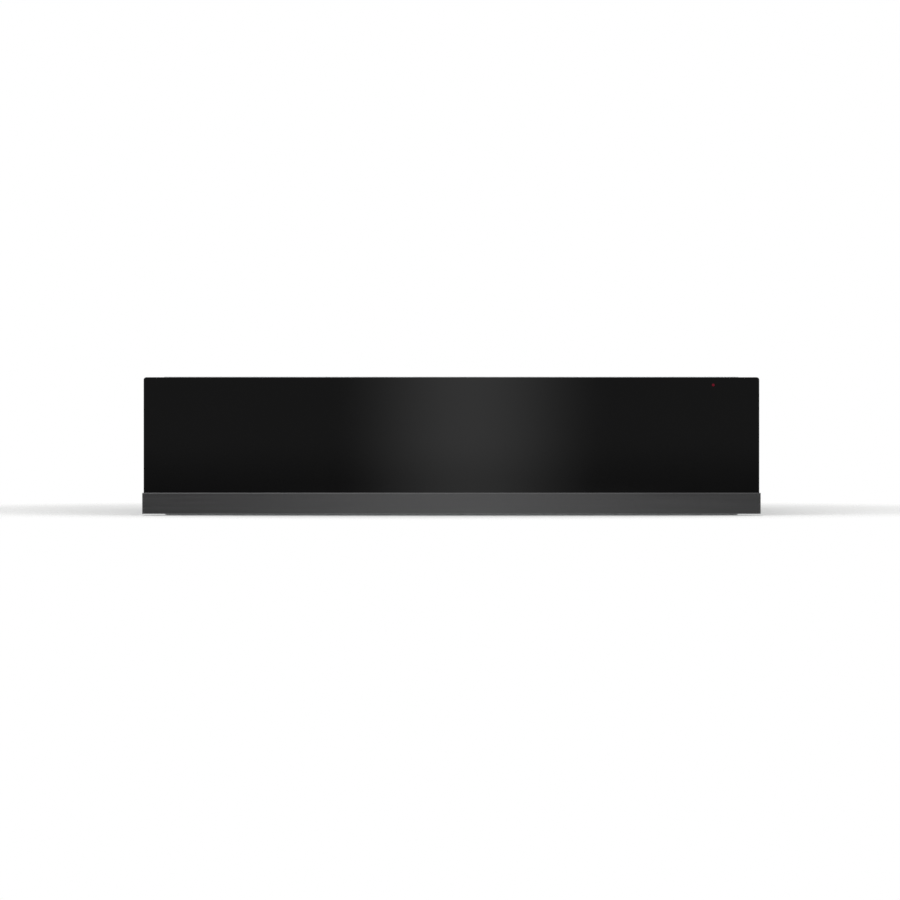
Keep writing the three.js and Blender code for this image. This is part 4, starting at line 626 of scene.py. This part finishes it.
def makeMat(look):
    # a plate with rounded edges, less a turned cutter at every second point of a square pattern
    low, high = boxOf("anti_slip_mat")
    middle, half = (low + high) / 2, (high - low) / 2
    base, top = low[2], high[2] - look["studHigh"] / 2
    t = np.linspace(0, quarter, 5)
    edge, hole, lift, pitch, step = (look[key] for key in ("edge", "hole", "holeEdge", "pitch", "studPitch"))
    levels = [(0, base), *zip(edge * (1 - np.cos(t)), top - edge * (1 - np.sin(t)))]
    plate = rectRings(low, high, levels, look["corner"], steps=8)
    mat = loftPiece("antiSlipMat", plate, "rubber", "drawer", ["anti_slip_mat"])
    columns, rows = ((2 * half[:2] - pitch) // pitch).astype(int)
    i, j = np.meshgrid(np.arange(columns + 1), np.arange(rows + 1))
    chosen = (i + j) % 2 == 0
    holes = np.stack([middle[0] + (i - columns / 2) * pitch, middle[1] + (j - rows / 2) * pitch], -1)[chosen]
    # the cutter widens just under the plate's top, which softens the hole's edge, and goes past both faces
    deep = top - base
    cutter = turned([hole, hole, hole + 0.15, hole + lift, hole + lift],
                    [-1, deep - lift, deep - 0.25, deep + 0.01, 4], (0, 0, base), (0, 0, 1),
                    look["holeSides"])
    cutAway(mat, np.insert(holes, 2, 0, axis=1)[:, None, None] + cutter)
    # studs: low domes, their height falling with the cosine of the radius, where no hole is near
    x, y = np.meshgrid(np.arange(step - half[0], half[0] - step / 2, step),
                       np.arange(step - half[1], half[1] - step / 2, step))
    spots = np.stack([x.ravel() + middle[0], y.ravel() + middle[1], np.zeros(x.size)], -1)
    gap = np.linalg.norm(spots[:, None, :2] - holes, axis=2).min(1)
    spots = spots[gap > hole + look["studClear"]]
    share = np.array([1.0, 0.8, 0.4])
    height = look["studHigh"] * np.cos(share * quarter) - look["studSink"]
    stud = turned(share * look["studRadius"], height, (0, 0, top), (0, 0, 1), look["studSides"])
    loftPiece("matStuds", spots[:, None, None] + stud, "rubber", "drawer", flatEnds=False)


makeMat(matLook)
print("drawer: tray and mat")

# Controls: knob, dial, marks on the rocker.
knobLook = dict(flutes=14, fluteDepth=1.0, bore=3.3, boreDeep=9.0, skirt=16.0, grip=12.8, crown=10.5,
                high=12.0, sides=168, pointerHalf=0.8, pointerRise=0.3, pointerCorner=0.25, pointerFrom=2.0,
                pointerPast=0.8, pointerSink=0.22, pointerDip=0.9, dipFrom=-0.4, dipTo=1.2)


def makeKnob(look):
    # turned about z; the radius is less by the flute's depth there, times (1 + cos(flutes x v)) / 2 squared
    (x0, y0, z0), (x1, y1, z1) = boxOf("thermostat_knob")
    x, y = (x0 + x1) / 2, (y0 + y1) / 2
    bore, skirt, grip, crown, high = (look[key] for key in ("bore", "skirt", "grip", "crown", "high"))
    radius, height, depth = np.transpose([     # radius, height, share of the flute's depth
        (bore, look["boreDeep"], 0), (bore, 0.4, 0), (bore + 0.4, 0, 0), (skirt - 0.6, 0, 0),
        (skirt - 0.15, 0.15, 0), (skirt, 0.6, 0), (skirt, 1.2, 0), (skirt - 0.25, 1.7, 0),
        (skirt - 1.2, 2.3, 0), (grip + 0.7, 3.0, 0), (grip + 0.1, 3.5, 0.05), (grip, 4.0, 0.3),
        (grip, 4.8, 0.9), (grip - 0.05, 6.5, 1.0), (grip - 0.15, 8.5, 1.0), (grip - 0.3, 10.0, 0.95),
        (grip - 0.55, 10.8, 0.75), (grip - 0.95, 11.3, 0.4), (grip - 1.5, 11.6, 0.12),
        (crown, high - 0.25, 0), (crown - 2.5, high - 0.12, 0), (4, high - 0.03, 0), (0.6, high, 0)])
    v = np.arange(look["sides"]) * 2 * math.pi / look["sides"]
    flute = look["fluteDepth"] * (0.5 + 0.5 * np.cos(look["flutes"] * v)) ** 2
    rings = turned(radius[:, None] - depth[:, None] * flute, height, (x, y, z0), (0, 0, 1), look["sides"])
    loftPiece("knobGrip", rings, "blackPlastic", "knob", ["thermostat_knob"])
    # pointer: a rounded bar that follows the crown and dips over its edge
    along = np.linspace(look["pointerFrom"], crown + look["pointerPast"], 12)
    dip = look["pointerDip"] * smoothStep(crown + look["dipFrom"], crown + look["dipTo"], along)
    top = z0 + high - look["pointerSink"] * (along / crown) ** 2 - dip
    half, rise = look["pointerHalf"], look["pointerRise"]
    bar = rectRings((x - half, 0, -rise), (x + half, 0, rise), [(0, y + a) for a in along],
                    look["pointerCorner"], axis=1, steps=3)
    bar[..., 2] += top[:, None]
    loftPiece("knobPointer", bar, "whitePaint", "knob")


def marksPiece(name, meshes, finish, body):
    work = bmesh.new()
    for mesh in meshes:
        work.from_mesh(mesh)
        bpy.data.meshes.remove(mesh)
    joined = bpy.data.meshes.new(name)
    work.to_mesh(joined)
    work.free()
    addPiece(name, cleaned(joined, gap=1e-7), finish, body)


def wordMesh(text, size, place, raised, turn=None):
    # letters made a mesh first, then set at their place
    words = bpy.data.curves.new("words", "FONT")
    words.body = text
    words.size = size * mm
    words.extrude = raised * mm
    words.align_x = "CENTER"
    words.align_y = "CENTER"
    words.resolution_u = 3
    holder = bpy.data.objects.new("words", words)
    scene.collection.objects.link(holder)
    mesh = workedOut(holder)
    bpy.data.objects.remove(holder)
    mesh.transform(Matrix.Translation(Vector(place) * mm) @ (turn or Matrix.Identity(4)))
    return mesh


dialLook = dict(values=["0", "30", "40", "50", "60", "70", "80"], sweep=270.0, tickFrom=17.6, tickTo=19.2,
                shortTo=18.5, tickWide=0.5, numberAt=21.6, size=3.6, raised=0.04)


def makeDial(look):
    # A mark at angle a, clockwise from the back, lies at the knob's middle plus its distance times
    # (sin a, cos a).
    middle = boxOf("thermostat_knob").mean(0)[:2]
    top = boxOf("control_console")[1, 2]
    angle = np.radians(np.linspace(0, look["sweep"], 2 * len(look["values"]) - 1))
    along = np.stack([np.sin(angle), np.cos(angle)], -1)
    words = [wordMesh(text, look["size"], (*place, top), look["raised"])
             for text, place in zip(look["values"], middle + look["numberAt"] * along[::2])]
    far = np.where(np.arange(len(angle)) % 2, look["shortTo"], look["tickTo"])[:, None]
    across = along[:, ::-1] * [1, -1] * look["tickWide"] / 2
    near, out = along * look["tickFrom"], along * far
    flat = middle + np.stack([near - across, near + across, out + across, out - across], 1)
    ticks = meshOf("ticks", *closedStacks(extruded(flat, 2, top - look["raised"], top + look["raised"])))
    marksPiece("dialMarks", words + [ticks], "darkPaint", "drawer")


rockerLook = dict(tilt=8.0, half=10.8, edge=3.0, dip=1.2, at=6.2, size=4.6, raised=0.05, pivotRise=0.3)


def makeRockerMarks(look):
    # One mark on each sloping pad. A pad's height goes from the dip to the edge, and the rocker's tilt turns
    # both of them about its pivot.
    pivotX, middleY = boxOf("switch_body").mean(0)[:2]
    pivotZ = boxOf("control_console")[1, 2] + look["pivotRise"]
    tilt = math.radians(look["tilt"])
    slope = (look["edge"] - look["dip"]) / look["half"]
    up = look["dip"] + slope * look["at"]
    words = []
    for side, text in ((-1, "I"), (1, "O")):
        out = side * look["at"]
        place = (pivotX + out * math.cos(tilt) + up * math.sin(tilt), middleY,
                 pivotZ - out * math.sin(tilt) + up * math.cos(tilt))
        turn = Matrix.Rotation(tilt - side * math.atan(slope), 4, "Y")
        words.append(wordMesh(text, look["size"], place, look["raised"], turn))
    marksPiece("rockerMarks", words, "whitePaint", "rocker")


makeKnob(knobLook)
makeDial(dialLook)
makeRockerMarks(rockerLook)
print("controls: knob, dial and rocker marks")

# Pressed grille over the window, with round-ended slots.
grilleLook = dict(rise=3.5, sheet=0.8, border=6.0, stepHalf=1.6, corner=8.0, arris=0.2, edge=0.15,
                  eyeRings=((6, 4.0, 12.0), (12, 14.5, 24.0)), eyeWide=3.0, slotPitch=8.0, slotStart=40.0,
                  slotCount=7, slotHigh=40.0, slotWide=3.6, cutPast=2.0)


def slotOutlines(rows, steps=8):
    # each row (a, b, length, width, angle) is a slot: two half circles of half its width, turned by the angle
    a, b, length, width, angle = np.asarray(rows, float).T[:, :, None]
    t = np.linspace(-quarter, quarter, steps + 1)
    u = (length - width + width * np.cos(t)) / 2
    v = width * np.sin(t) / 2
    u, v = np.concatenate([u, -u], 1), np.concatenate([v, -v], 1)
    x = a + u * np.cos(angle) - v * np.sin(angle)
    return np.stack([x, b + u * np.sin(angle) + v * np.cos(angle)], -1)


def makeGrille(look):
    # rounded rectangles; the border climbs to the raised field by the smooth step
    low, high = boxOf("fan_grille")
    middle, back, sheet, arris = (low[2] + high[2]) / 2, high[1], look["sheet"], look["arris"]
    t = np.linspace(0, 1, 7)
    inset = look["border"] + look["stepHalf"] * (2 * t - 1)
    climb = (look["rise"] - sheet) * smoothStep(0, 1, t)
    levels = [*zip(inset[::-1], back - sheet - climb[::-1]), (arris, back - sheet), (0, back - sheet + arris),
              (0, back - arris), (arris, back), *zip(inset, back - climb)]
    rings = rectRings(low, high, levels, look["corner"], axis=1, share=0.3)
    grille = loftPiece("fanGrille", rings, "stainless", "drawer", ["fan_grille"])
    slots = []
    for count, near, far in look["eyeRings"]:
        r = (near + far) / 2
        slots += [(r * math.cos(a), middle + r * math.sin(a), far - near, look["eyeWide"], a)
                  for a in (np.arange(count) + 0.5) / count * 2 * math.pi]
    for x in look["slotStart"] + look["slotPitch"] * np.arange(look["slotCount"]):
        slots += [(side * x, middle, look["slotHigh"], look["slotWide"], quarter) for side in (-1, 1)]
    cutAway(grille, extruded(slotOutlines(slots), 1, low[1] - look["cutPast"], back + look["cutPast"]))
    addBevel(grille, look["edge"], 40)
    evenNormals(grille)


makeGrille(grilleLook)

# Heating loop, thermostat tube and motor coil.
elementLook = dict(radius=3.2, bend=34.0, leastFlat=4.0, legBend=8.0, leg=14.0, sides=20)


def makeElement(look):
    # One tube: in by a leg, round the loop and out by the other leg. At each end of the loop a flat stays
    # between the two bends.
    (x0, y0, z0), (x1, y1, z1) = boxOf("heating_element")
    r, leg, legBend = look["radius"], look["leg"], look["legBend"]
    y, low, high = y0 + r, z0 + r, z1 - r
    corners = [(-leg, y1, low), (-leg, y, low), (x0 + r, y, low), (x0 + r, y, high), (x1 - r, y, high),
               (x1 - r, y, low), (leg, y, low), (leg, y1, low)]
    bend = min(look["bend"], (high - low - look["leastFlat"]) / 2)
    path = filleted(corners, [0, legBend, bend, bend, bend, bend, legBend, 0], closed=False, steps=12)
    loftPiece("heatingElement", tubeRings(path, r, look["sides"]), "elementSteel", "drawer",
              ["heating_element"])


tubeLook = dict(radius=1.1, bend=9.0, bulb=2.8, bulbLength=70.0, shoulder=2.4, noseFrom=4.5, noseRadius=1.7,
                tip=((0.8, 1.0), (0.3, 0.8), (0.0, 0.4)))      # way from the end, share of the nose's radius


def makeCapillary(look):
    # one tube; its radius goes up to the bulb's and down to the nose's by the smooth step
    (x0, y0, z0), (x1, y1, z1) = boxOf("thermostat_capillary")
    r, bulb, nose, shoulder = look["radius"], look["bulb"], look["noseRadius"], look["shoulder"]
    x, z, bulbFront = x1 - bulb, (z0 + z1) / 2, y1 - look["bulbLength"]
    route = filleted([(x0, y0 + r, z), (x, y0 + r, z), (x, bulbFront, z)], [0, look["bend"], 0], closed=False,
                     steps=14)
    along = np.array([0, 0.25, 7 / 12, 1]) * shoulder
    blend = smoothStep(0, shoulder, along)
    fromEnd, tipShare = np.transpose(look["tip"])
    bulbY = np.concatenate([bulbFront + 0.01 + along, y1 - look["noseFrom"] + along[1:], y1 - fromEnd])
    radius = np.concatenate([np.full(len(route), r), r + (bulb - r) * blend, bulb + (nose - bulb) * blend[1:],
                             nose * tipShare])
    path = np.concatenate([route, np.stack([np.full(len(bulbY), x), bulbY, np.full(len(bulbY), z)], -1)])
    loftPiece("thermostatTube", tubeRings(path, radius), "copper", "drawer", ["thermostat_capillary"])


coilLook = dict(wire=0.8, cheek=1.4, lip=1.0, corner=2.5, cheekEdge=0.3)


def makeCoil(look):
    # Stacked rounded rectangles. Each turn of wire bulges by half its width times the sine's size, and a
    # cheek closes each end.
    low, high = boxOf("motor_coil")
    wide, cheek, corner, e = look["wire"], look["cheek"], look["corner"], look["cheekEdge"]
    z = np.arange(low[2] + cheek, high[2] - cheek, wide / 6)
    bulge = wide / 2 * (np.abs(np.sin(math.pi * (z - z[0]) / wide)) - 1)
    winding = rectRings(low, high, np.stack([look["lip"] - bulge, z], -1), corner, share=0, steps=4)
    loftPiece("coilWinding", winding, "copper", "drawer", ["motor_coil"], sharp=80)
    for name, foot in (("coilCheekLower", low[2]), ("coilCheekUpper", high[2] - cheek)):
        levels = [(e, foot), (0, foot + e), (0, foot + cheek - e), (e, foot + cheek)]
        loftPiece(name, rectRings(low, high, levels, corner, steps=6), "whitePlastic", "drawer")


makeElement(elementLook)
makeCapillary(tubeLook)
makeCoil(coilLook)
print("fan heater: grille, heating loop, tube and coil")

# Ball cages: a thin channel and two rows of balls.
cageLook = dict(sheet=0.5, edge=0.12, balls=11, ballRadius=2.0, ballFlat=0.05, ballRings=9, ballSides=14)


def makeCage(name, body, look):
    # a channel whose flanges run through the balls' centres; a ball's rings have radius times cos t and sin t
    (x0, y0, z0), (x1, y1, z1) = boxOf(name)
    side = 1 if x0 > 0 else -1
    r, sheet = look["ballRadius"], look["sheet"]
    web, tip = (x1, x0) if side > 0 else (x0, x1)
    flange, middle, inner = (z1 - z0) / 2 - r + sheet / 2, (z0 + z1) / 2, web - side * sheet
    outline = [(web, -flange), (tip, -flange), (tip, sheet - flange), (inner, sheet - flange),
               (inner, flange - sheet), (tip, flange - sheet), (tip, flange), (web, flange)]
    section = filleted(np.array(outline) + [0, middle], look["edge"], steps=2)
    loftPiece("shown_" + name, extruded(section, 1, y0, y1), "runnerSteel", body, [name])
    t = np.linspace(look["ballFlat"] - quarter, quarter - look["ballFlat"], look["ballRings"])
    ball = turned(r * np.cos(t), r * np.sin(t), (0, 0, 0), (1, 0, 0), look["ballSides"])
    along = y0 + (np.arange(look["balls"]) + 0.5) / look["balls"] * (y1 - y0)
    spots = np.array([(tip + side * r, y, middle + k * (flange - sheet / 2)) for k in (-1, 1) for y in along])
    loftPiece(name + "_balls", spots[:, None, None] + ball, "ballSteel", body, flatEnds=False)


for row in ("outer", "inner"):
    for side in ("left", "right"):
        makeCage("ball_cage_%s_%s" % (row, side), "%s_cage_%s" % (row, side), cageLook)
print("runners: four ball cages")

# Screw and rivet heads. A head is turned, and in its recess the radius is multiplied by
# (1 + lobeDepth x cos(lobes x v)).
headLook = dict(sides=24, lobes=6, lobeDepth=0.2)
headShapes = {          # shares of the head's radius and height, and 1 in the recess
    "pan": [(1.0, 0.0, 0), (1.0, 0.25, 0), (0.93, 0.6, 0), (0.75, 0.88, 0), (0.55, 1.0, 0), (0.42, 1.0, 1),
            (0.40, 0.35, 1)],
    "dome": [(1.0, 0.0, 0), (0.97, 0.3, 0), (0.85, 0.62, 0), (0.6, 0.88, 0), (0.3, 0.98, 0), (0.08, 1.0, 0)],
}
# A row gives the group's name, its node, the way its heads face, how far their feet stand from the node's
# back (none: on its front), their places from the node's middle on the other two axes, and the head itself.
headGroups = [
    ("coverScrews", "casing_top", "+z", None, (-272, 272), (-215, 0, 215), 3.2, 0.6, "pan"),
    ("coverFoldScrews", "casing_top", "+y", None, (-230, -80, 80, 230), -0.5, 1.7, 0.8, "pan"),
    ("terminalScrews", "casing_rear", "+y", None, (176, 204), -43.05, 2.6, 1.4, "pan"),
    ("terminalLidScrew", "terminal_box", "-y", None, 0, 10.8, 2.6, 1.2, "pan"),
    ("catchScrews", "latch_barrel", "+z", 2.5, (-8, 8), 10, 2.9, 1.3, "pan"),
    ("runnerRivetsLeft", "runner_outer_left", "-x", 10.7, (-210, 0, 210), 0, 3.8, 1.1, "dome"),
    ("bracketSideScrewsLeft", "front_bracket_left", "+x", 2, 3, (-15.5, 15.5), 3.6, 1.6, "pan"),
    ("bracketFaceScrewsLeft", "front_bracket_left", "+y", 2, 3, (-15.5, 15.5), 3.6, 1.6, "pan"),
    ("runnerRivetsRight", "runner_outer_right", "+x", 10.7, (-210, 0, 210), 0, 3.8, 1.1, "dome"),
    ("bracketSideScrewsRight", "front_bracket_right", "-x", 2, 3, (-15.5, 15.5), 3.6, 1.6, "pan"),
    ("bracketFaceScrewsRight", "front_bracket_right", "+y", 2, -3, (-15.5, 15.5), 3.6, 1.6, "pan"),
    ("trayScrews", "warming_tray", "+z", None, (-258.5, 258.5), (-126.4, 3.6, 133.6), 2.6, 0.7, "pan"),
    ("consoleScrews", "control_console", "+z", None, (-256, 256), 0.05, 2.6, 0.7, "pan"),
    ("grilleScrews", "fan_grille", "-y", 0.8, (-114, 114), (-29, 29), 1.9, 0.9, "pan"),
    ("wallRivets", "drawer_rear_wall", "+y", None, (-250, -150, 150, 250), (-44, 40), 2.2, 0.8, "dome"),
    ("chamberScrews", "air_chamber", "+y", 1, (-118.5, 118.5), (-29.2, 30.8), 2.2, 1.2, "pan"),
    ("flangeNuts", "element_flange", "+y", None, (-20, 20), 0, 2.2, 1.6, "pan"),
    ("motorScrews", "motor_core", "+y", 16.8, (-11, 27.8), (-14, 14), 2.6, 1.5, "pan"),
    ("cutoutRivets", "thermal_cutout", "+y", 1, (-10.3, 10.3), 0, 1.7, 0.7, "dome"),
    ("connectorScrews", "drawer_connector", "+y", 2, (-17.5, 17.5), 0, 1.4, 0.8, "pan"),
    ("strikerScrews", "striker_plate", "+y", None, (-9.5, 9.5), 0, 2.2, 1.0, "pan"),
]


def makeHeads(look, name, node, facing, stand, across, along, radius, height, shape):
    # equal heads, each a turned profile, at every crossing of the two rows of places
    low, high = boxOf(node)
    k = "xyz".index(facing[1])
    way = -1 if facing[0] == "-" else 1
    back, front = (low[k], high[k]) if way > 0 else (high[k], low[k])
    others = np.delete((low + high) / 2, k)
    places = [others[0] + np.array(across), others[1] + np.array(along)]
    places.insert(k, front if stand is None else back + way * stand)
    feet = np.stack(np.meshgrid(*places, indexing="ij"), -1).reshape(-1, 1, 1, 3)
    share, rise, recess = np.transpose(headShapes[shape])
    v = np.arange(look["sides"]) * 2 * math.pi / look["sides"]
    lobes = 1 + look["lobeDepth"] * recess[:, None] * np.cos(look["lobes"] * v)
    head = turned(radius * share[:, None] * lobes, height * rise, (0, 0, 0), way * np.eye(3)[k],
                  look["sides"])
    loftPiece(name, feet + head, "runnerSteel", bodyOf(node))


for group in headGroups:
    makeHeads(headLook, *group)
print("fasteners: %d groups" % len(headGroups))

# The camera stands 4 m in front of the glass, level with the middle of the picture.
cameraLook = dict(x=-0.0014, distance=4.0, z=0.06295, frameWidth=0.8658, front=-0.287, sensor=36.0)
camera = bpy.data.cameras.new("camera")
camera.sensor_width = cameraLook["sensor"]
camera.lens = cameraLook["sensor"] * cameraLook["distance"] / cameraLook["frameWidth"]
camera.clip_end = 50
cameraObject = bpy.data.objects.new("camera", camera)
cameraObject.location = (cameraLook["x"], cameraLook["front"] - cameraLook["distance"], cameraLook["z"])
cameraObject.rotation_euler = (quarter, 0, 0)
scene.collection.objects.link(cameraObject)
scene.camera = cameraObject

# Lamps: a wide soft one above the left, a weaker one on the right and one behind.
lampLook = {
    "key": dict(place=(-1.65, -2.1, 2.6), aim=(0, -0.1, 0.05), size=(3.4, 2.6), power=36),
    "fill": dict(place=(2.2, -1.2, 1.6), aim=(0, 0, 0.05), size=(2.0, 2.0), power=12),
    "back": dict(place=(0.6, 2.8, 2.2), aim=(0, 0, 0.1), size=(2.6, 2.0), power=14),
}
for name, look in lampLook.items():
    lamp = bpy.data.lights.new(name, "AREA")
    lamp.shape = "RECTANGLE"
    lamp.size, lamp.size_y = look["size"]
    lamp.energy = look["power"]
    lampObject = bpy.data.objects.new(name, lamp)
    lampObject.location = look["place"]
    aim = Vector(look["aim"]) - Vector(look["place"])
    lampObject.rotation_euler = aim.to_track_quat("-Z", "Y").to_euler()
    scene.collection.objects.link(lampObject)

roomLook = dict(
    dim=0.175, lowFrom=0.0036, lowTo=-0.0101, lowKeep=0.58,                  # room ahead, and its lower part
    band=0.60, bandMiddle=0.0048, bandHalf=0.0337, bandKept=0.45,            # upright band in it
    glow=0.21, glowEnd=-0.04, glowHalf=(0.026, 0.074), glowFrom=-0.0104, glowTo=-0.0120,
    pale=0.80, paleSpan=(-0.6, 0.9), paleShare=(0.7, 1.1), waves=12.0, waveLow=0.52, waveHigh=1.24,
    diffuse=0.68, wallFrom=0.80, wallTo=0.975, leastAhead=0.05)


def makeRoom(look):
    # What a direction meets. Slopes are its sideways and upward parts over its forward part. Straight ahead
    # the room is dim, with a soft upright band that fades to its sides, and both are weaker low down. Lower
    # still comes a wider glow that only the strip mirrors. All round, the room is pale: it goes between two
    # levels with the cosine of the turn times the number of waves, and grows with height.
    # What the camera sees is white, and what lights matt surfaces is one even grey.
    world = bpy.data.worlds.new("room")
    scene.world = world
    world.use_nodes = True
    world.cycles.sampling_method = "NONE"
    tree = world.node_tree
    tree.nodes.clear()
    direction = wire(tree, "TexCoord", output="Generated")
    right, back, up = (wire(tree, "SeparateXYZ", {0: direction}, k) for k in range(3))
    forward = formula(tree, "MULTIPLY", back, -1.0)
    ahead = formula(tree, "MAXIMUM", forward, look["leastAhead"])
    slope = formula(tree, "DIVIDE", up, ahead)
    sideways = formula(tree, "SUBTRACT", formula(tree, "DIVIDE", right, ahead), look["bandMiddle"])
    offBand = formula(tree, "ABSOLUTE", sideways)
    band = softly(tree, offBand, 0.0, look["bandHalf"], look["band"], 0.0)
    lower = softly(tree, slope, look["lowTo"], look["lowFrom"], look["lowKeep"], 1.0)
    glow = formula(tree, "MULTIPLY", softly(tree, offBand, *look["glowHalf"], look["glow"], look["glowEnd"]),
                   softly(tree, slope, look["glowTo"], look["glowFrom"], 1.0, 0.0))
    dim = formula(tree, "MULTIPLY_ADD", lower, look["dim"], glow)
    bandShare = formula(tree, "MULTIPLY_ADD", lower, 1 - look["bandKept"], look["bandKept"])
    dim = formula(tree, "MULTIPLY_ADD", band, bandShare, dim)
    turn = formula(tree, "ARCTAN2", right, forward)
    wave = formula(tree, "COSINE", formula(tree, "MULTIPLY", turn, look["waves"]))
    spread = (look["waveHigh"] - look["waveLow"]) / 2
    varied = formula(tree, "MULTIPLY_ADD", wave, spread, look["waveLow"] + spread)
    height = softly(tree, up, *look["paleSpan"], *(look["pale"] * share for share in look["paleShare"]))
    facing = softly(tree, forward, look["wallFrom"], look["wallTo"])
    pale = formula(tree, "MULTIPLY", formula(tree, "MULTIPLY", varied, height),
                   formula(tree, "SUBTRACT", 1.0, facing))
    mirrored = formula(tree, "MULTIPLY_ADD", dim, facing, pale)
    seen = formula(tree, "MAXIMUM", wire(tree, "LightPath", output="Is Camera Ray"),
                   wire(tree, "LightPath", output="Is Transmission Ray"))
    unseen = formula(tree, "SUBTRACT", 1.0, seen)
    glossy = formula(tree, "MULTIPLY", wire(tree, "LightPath", output="Is Glossy Ray"), unseen)
    matt = formula(tree, "MULTIPLY_ADD", formula(tree, "SUBTRACT", unseen, glossy), look["diffuse"], seen)
    level = formula(tree, "MULTIPLY_ADD", glossy, mirrored, matt)
    background = wire(tree, "Background", {"Color": (1, 1, 1, 1), "Strength": level})
    wire(tree, "OutputWorld", {"Surface": background})


floorLook = dict(half=2.0, height=-0.0002, middle=(0, -0.15, 0), fadeFrom=0.42, fadeTo=0.72,
                 colour=(0.90, 0.90, 0.895, 1))


def makeFloor(look):
    # a pale floor that fades into the room with the distance from its middle, so that its edge never shows
    corners = look["half"] * np.array([(-1, -1), (1, -1), (1, 1), (-1, 1)])
    mesh = meshOf("floor", np.insert(corners, 2, look["height"], axis=1) / mm, [(0, 1, 2, 3)])
    floor = bpy.data.objects.new("floor", mesh)
    scene.collection.objects.link(floor)
    material = bpy.data.materials.new("floor")
    material.use_nodes = True
    tree = material.node_tree
    tree.nodes.clear()
    place = wire(tree, "TexCoord", output="Object")
    centred = wire(tree, "VectorMath", {0: place, 1: look["middle"]}, operation="ADD")
    away = wire(tree, "VectorMath", {0: centred}, "Value", operation="LENGTH")
    unseen = formula(tree, "MAXIMUM", softly(tree, away, look["fadeFrom"], look["fadeTo"]),
                     wire(tree, "LightPath", output="Is Glossy Ray"))
    mixed = wire(tree, "MixShader", {0: unseen, 1: wire(tree, "BsdfDiffuse", {"Color": look["colour"]}),
                                     2: wire(tree, "BsdfTransparent")})
    wire(tree, "OutputMaterial", {"Surface": mixed})
    mesh.materials.append(material)


makeRoom(roomLook)
makeFloor(floorLook)
scene.view_settings.view_transform = "Standard"
print("stage: camera, %d lamps, room and floor" % len(lampLook))
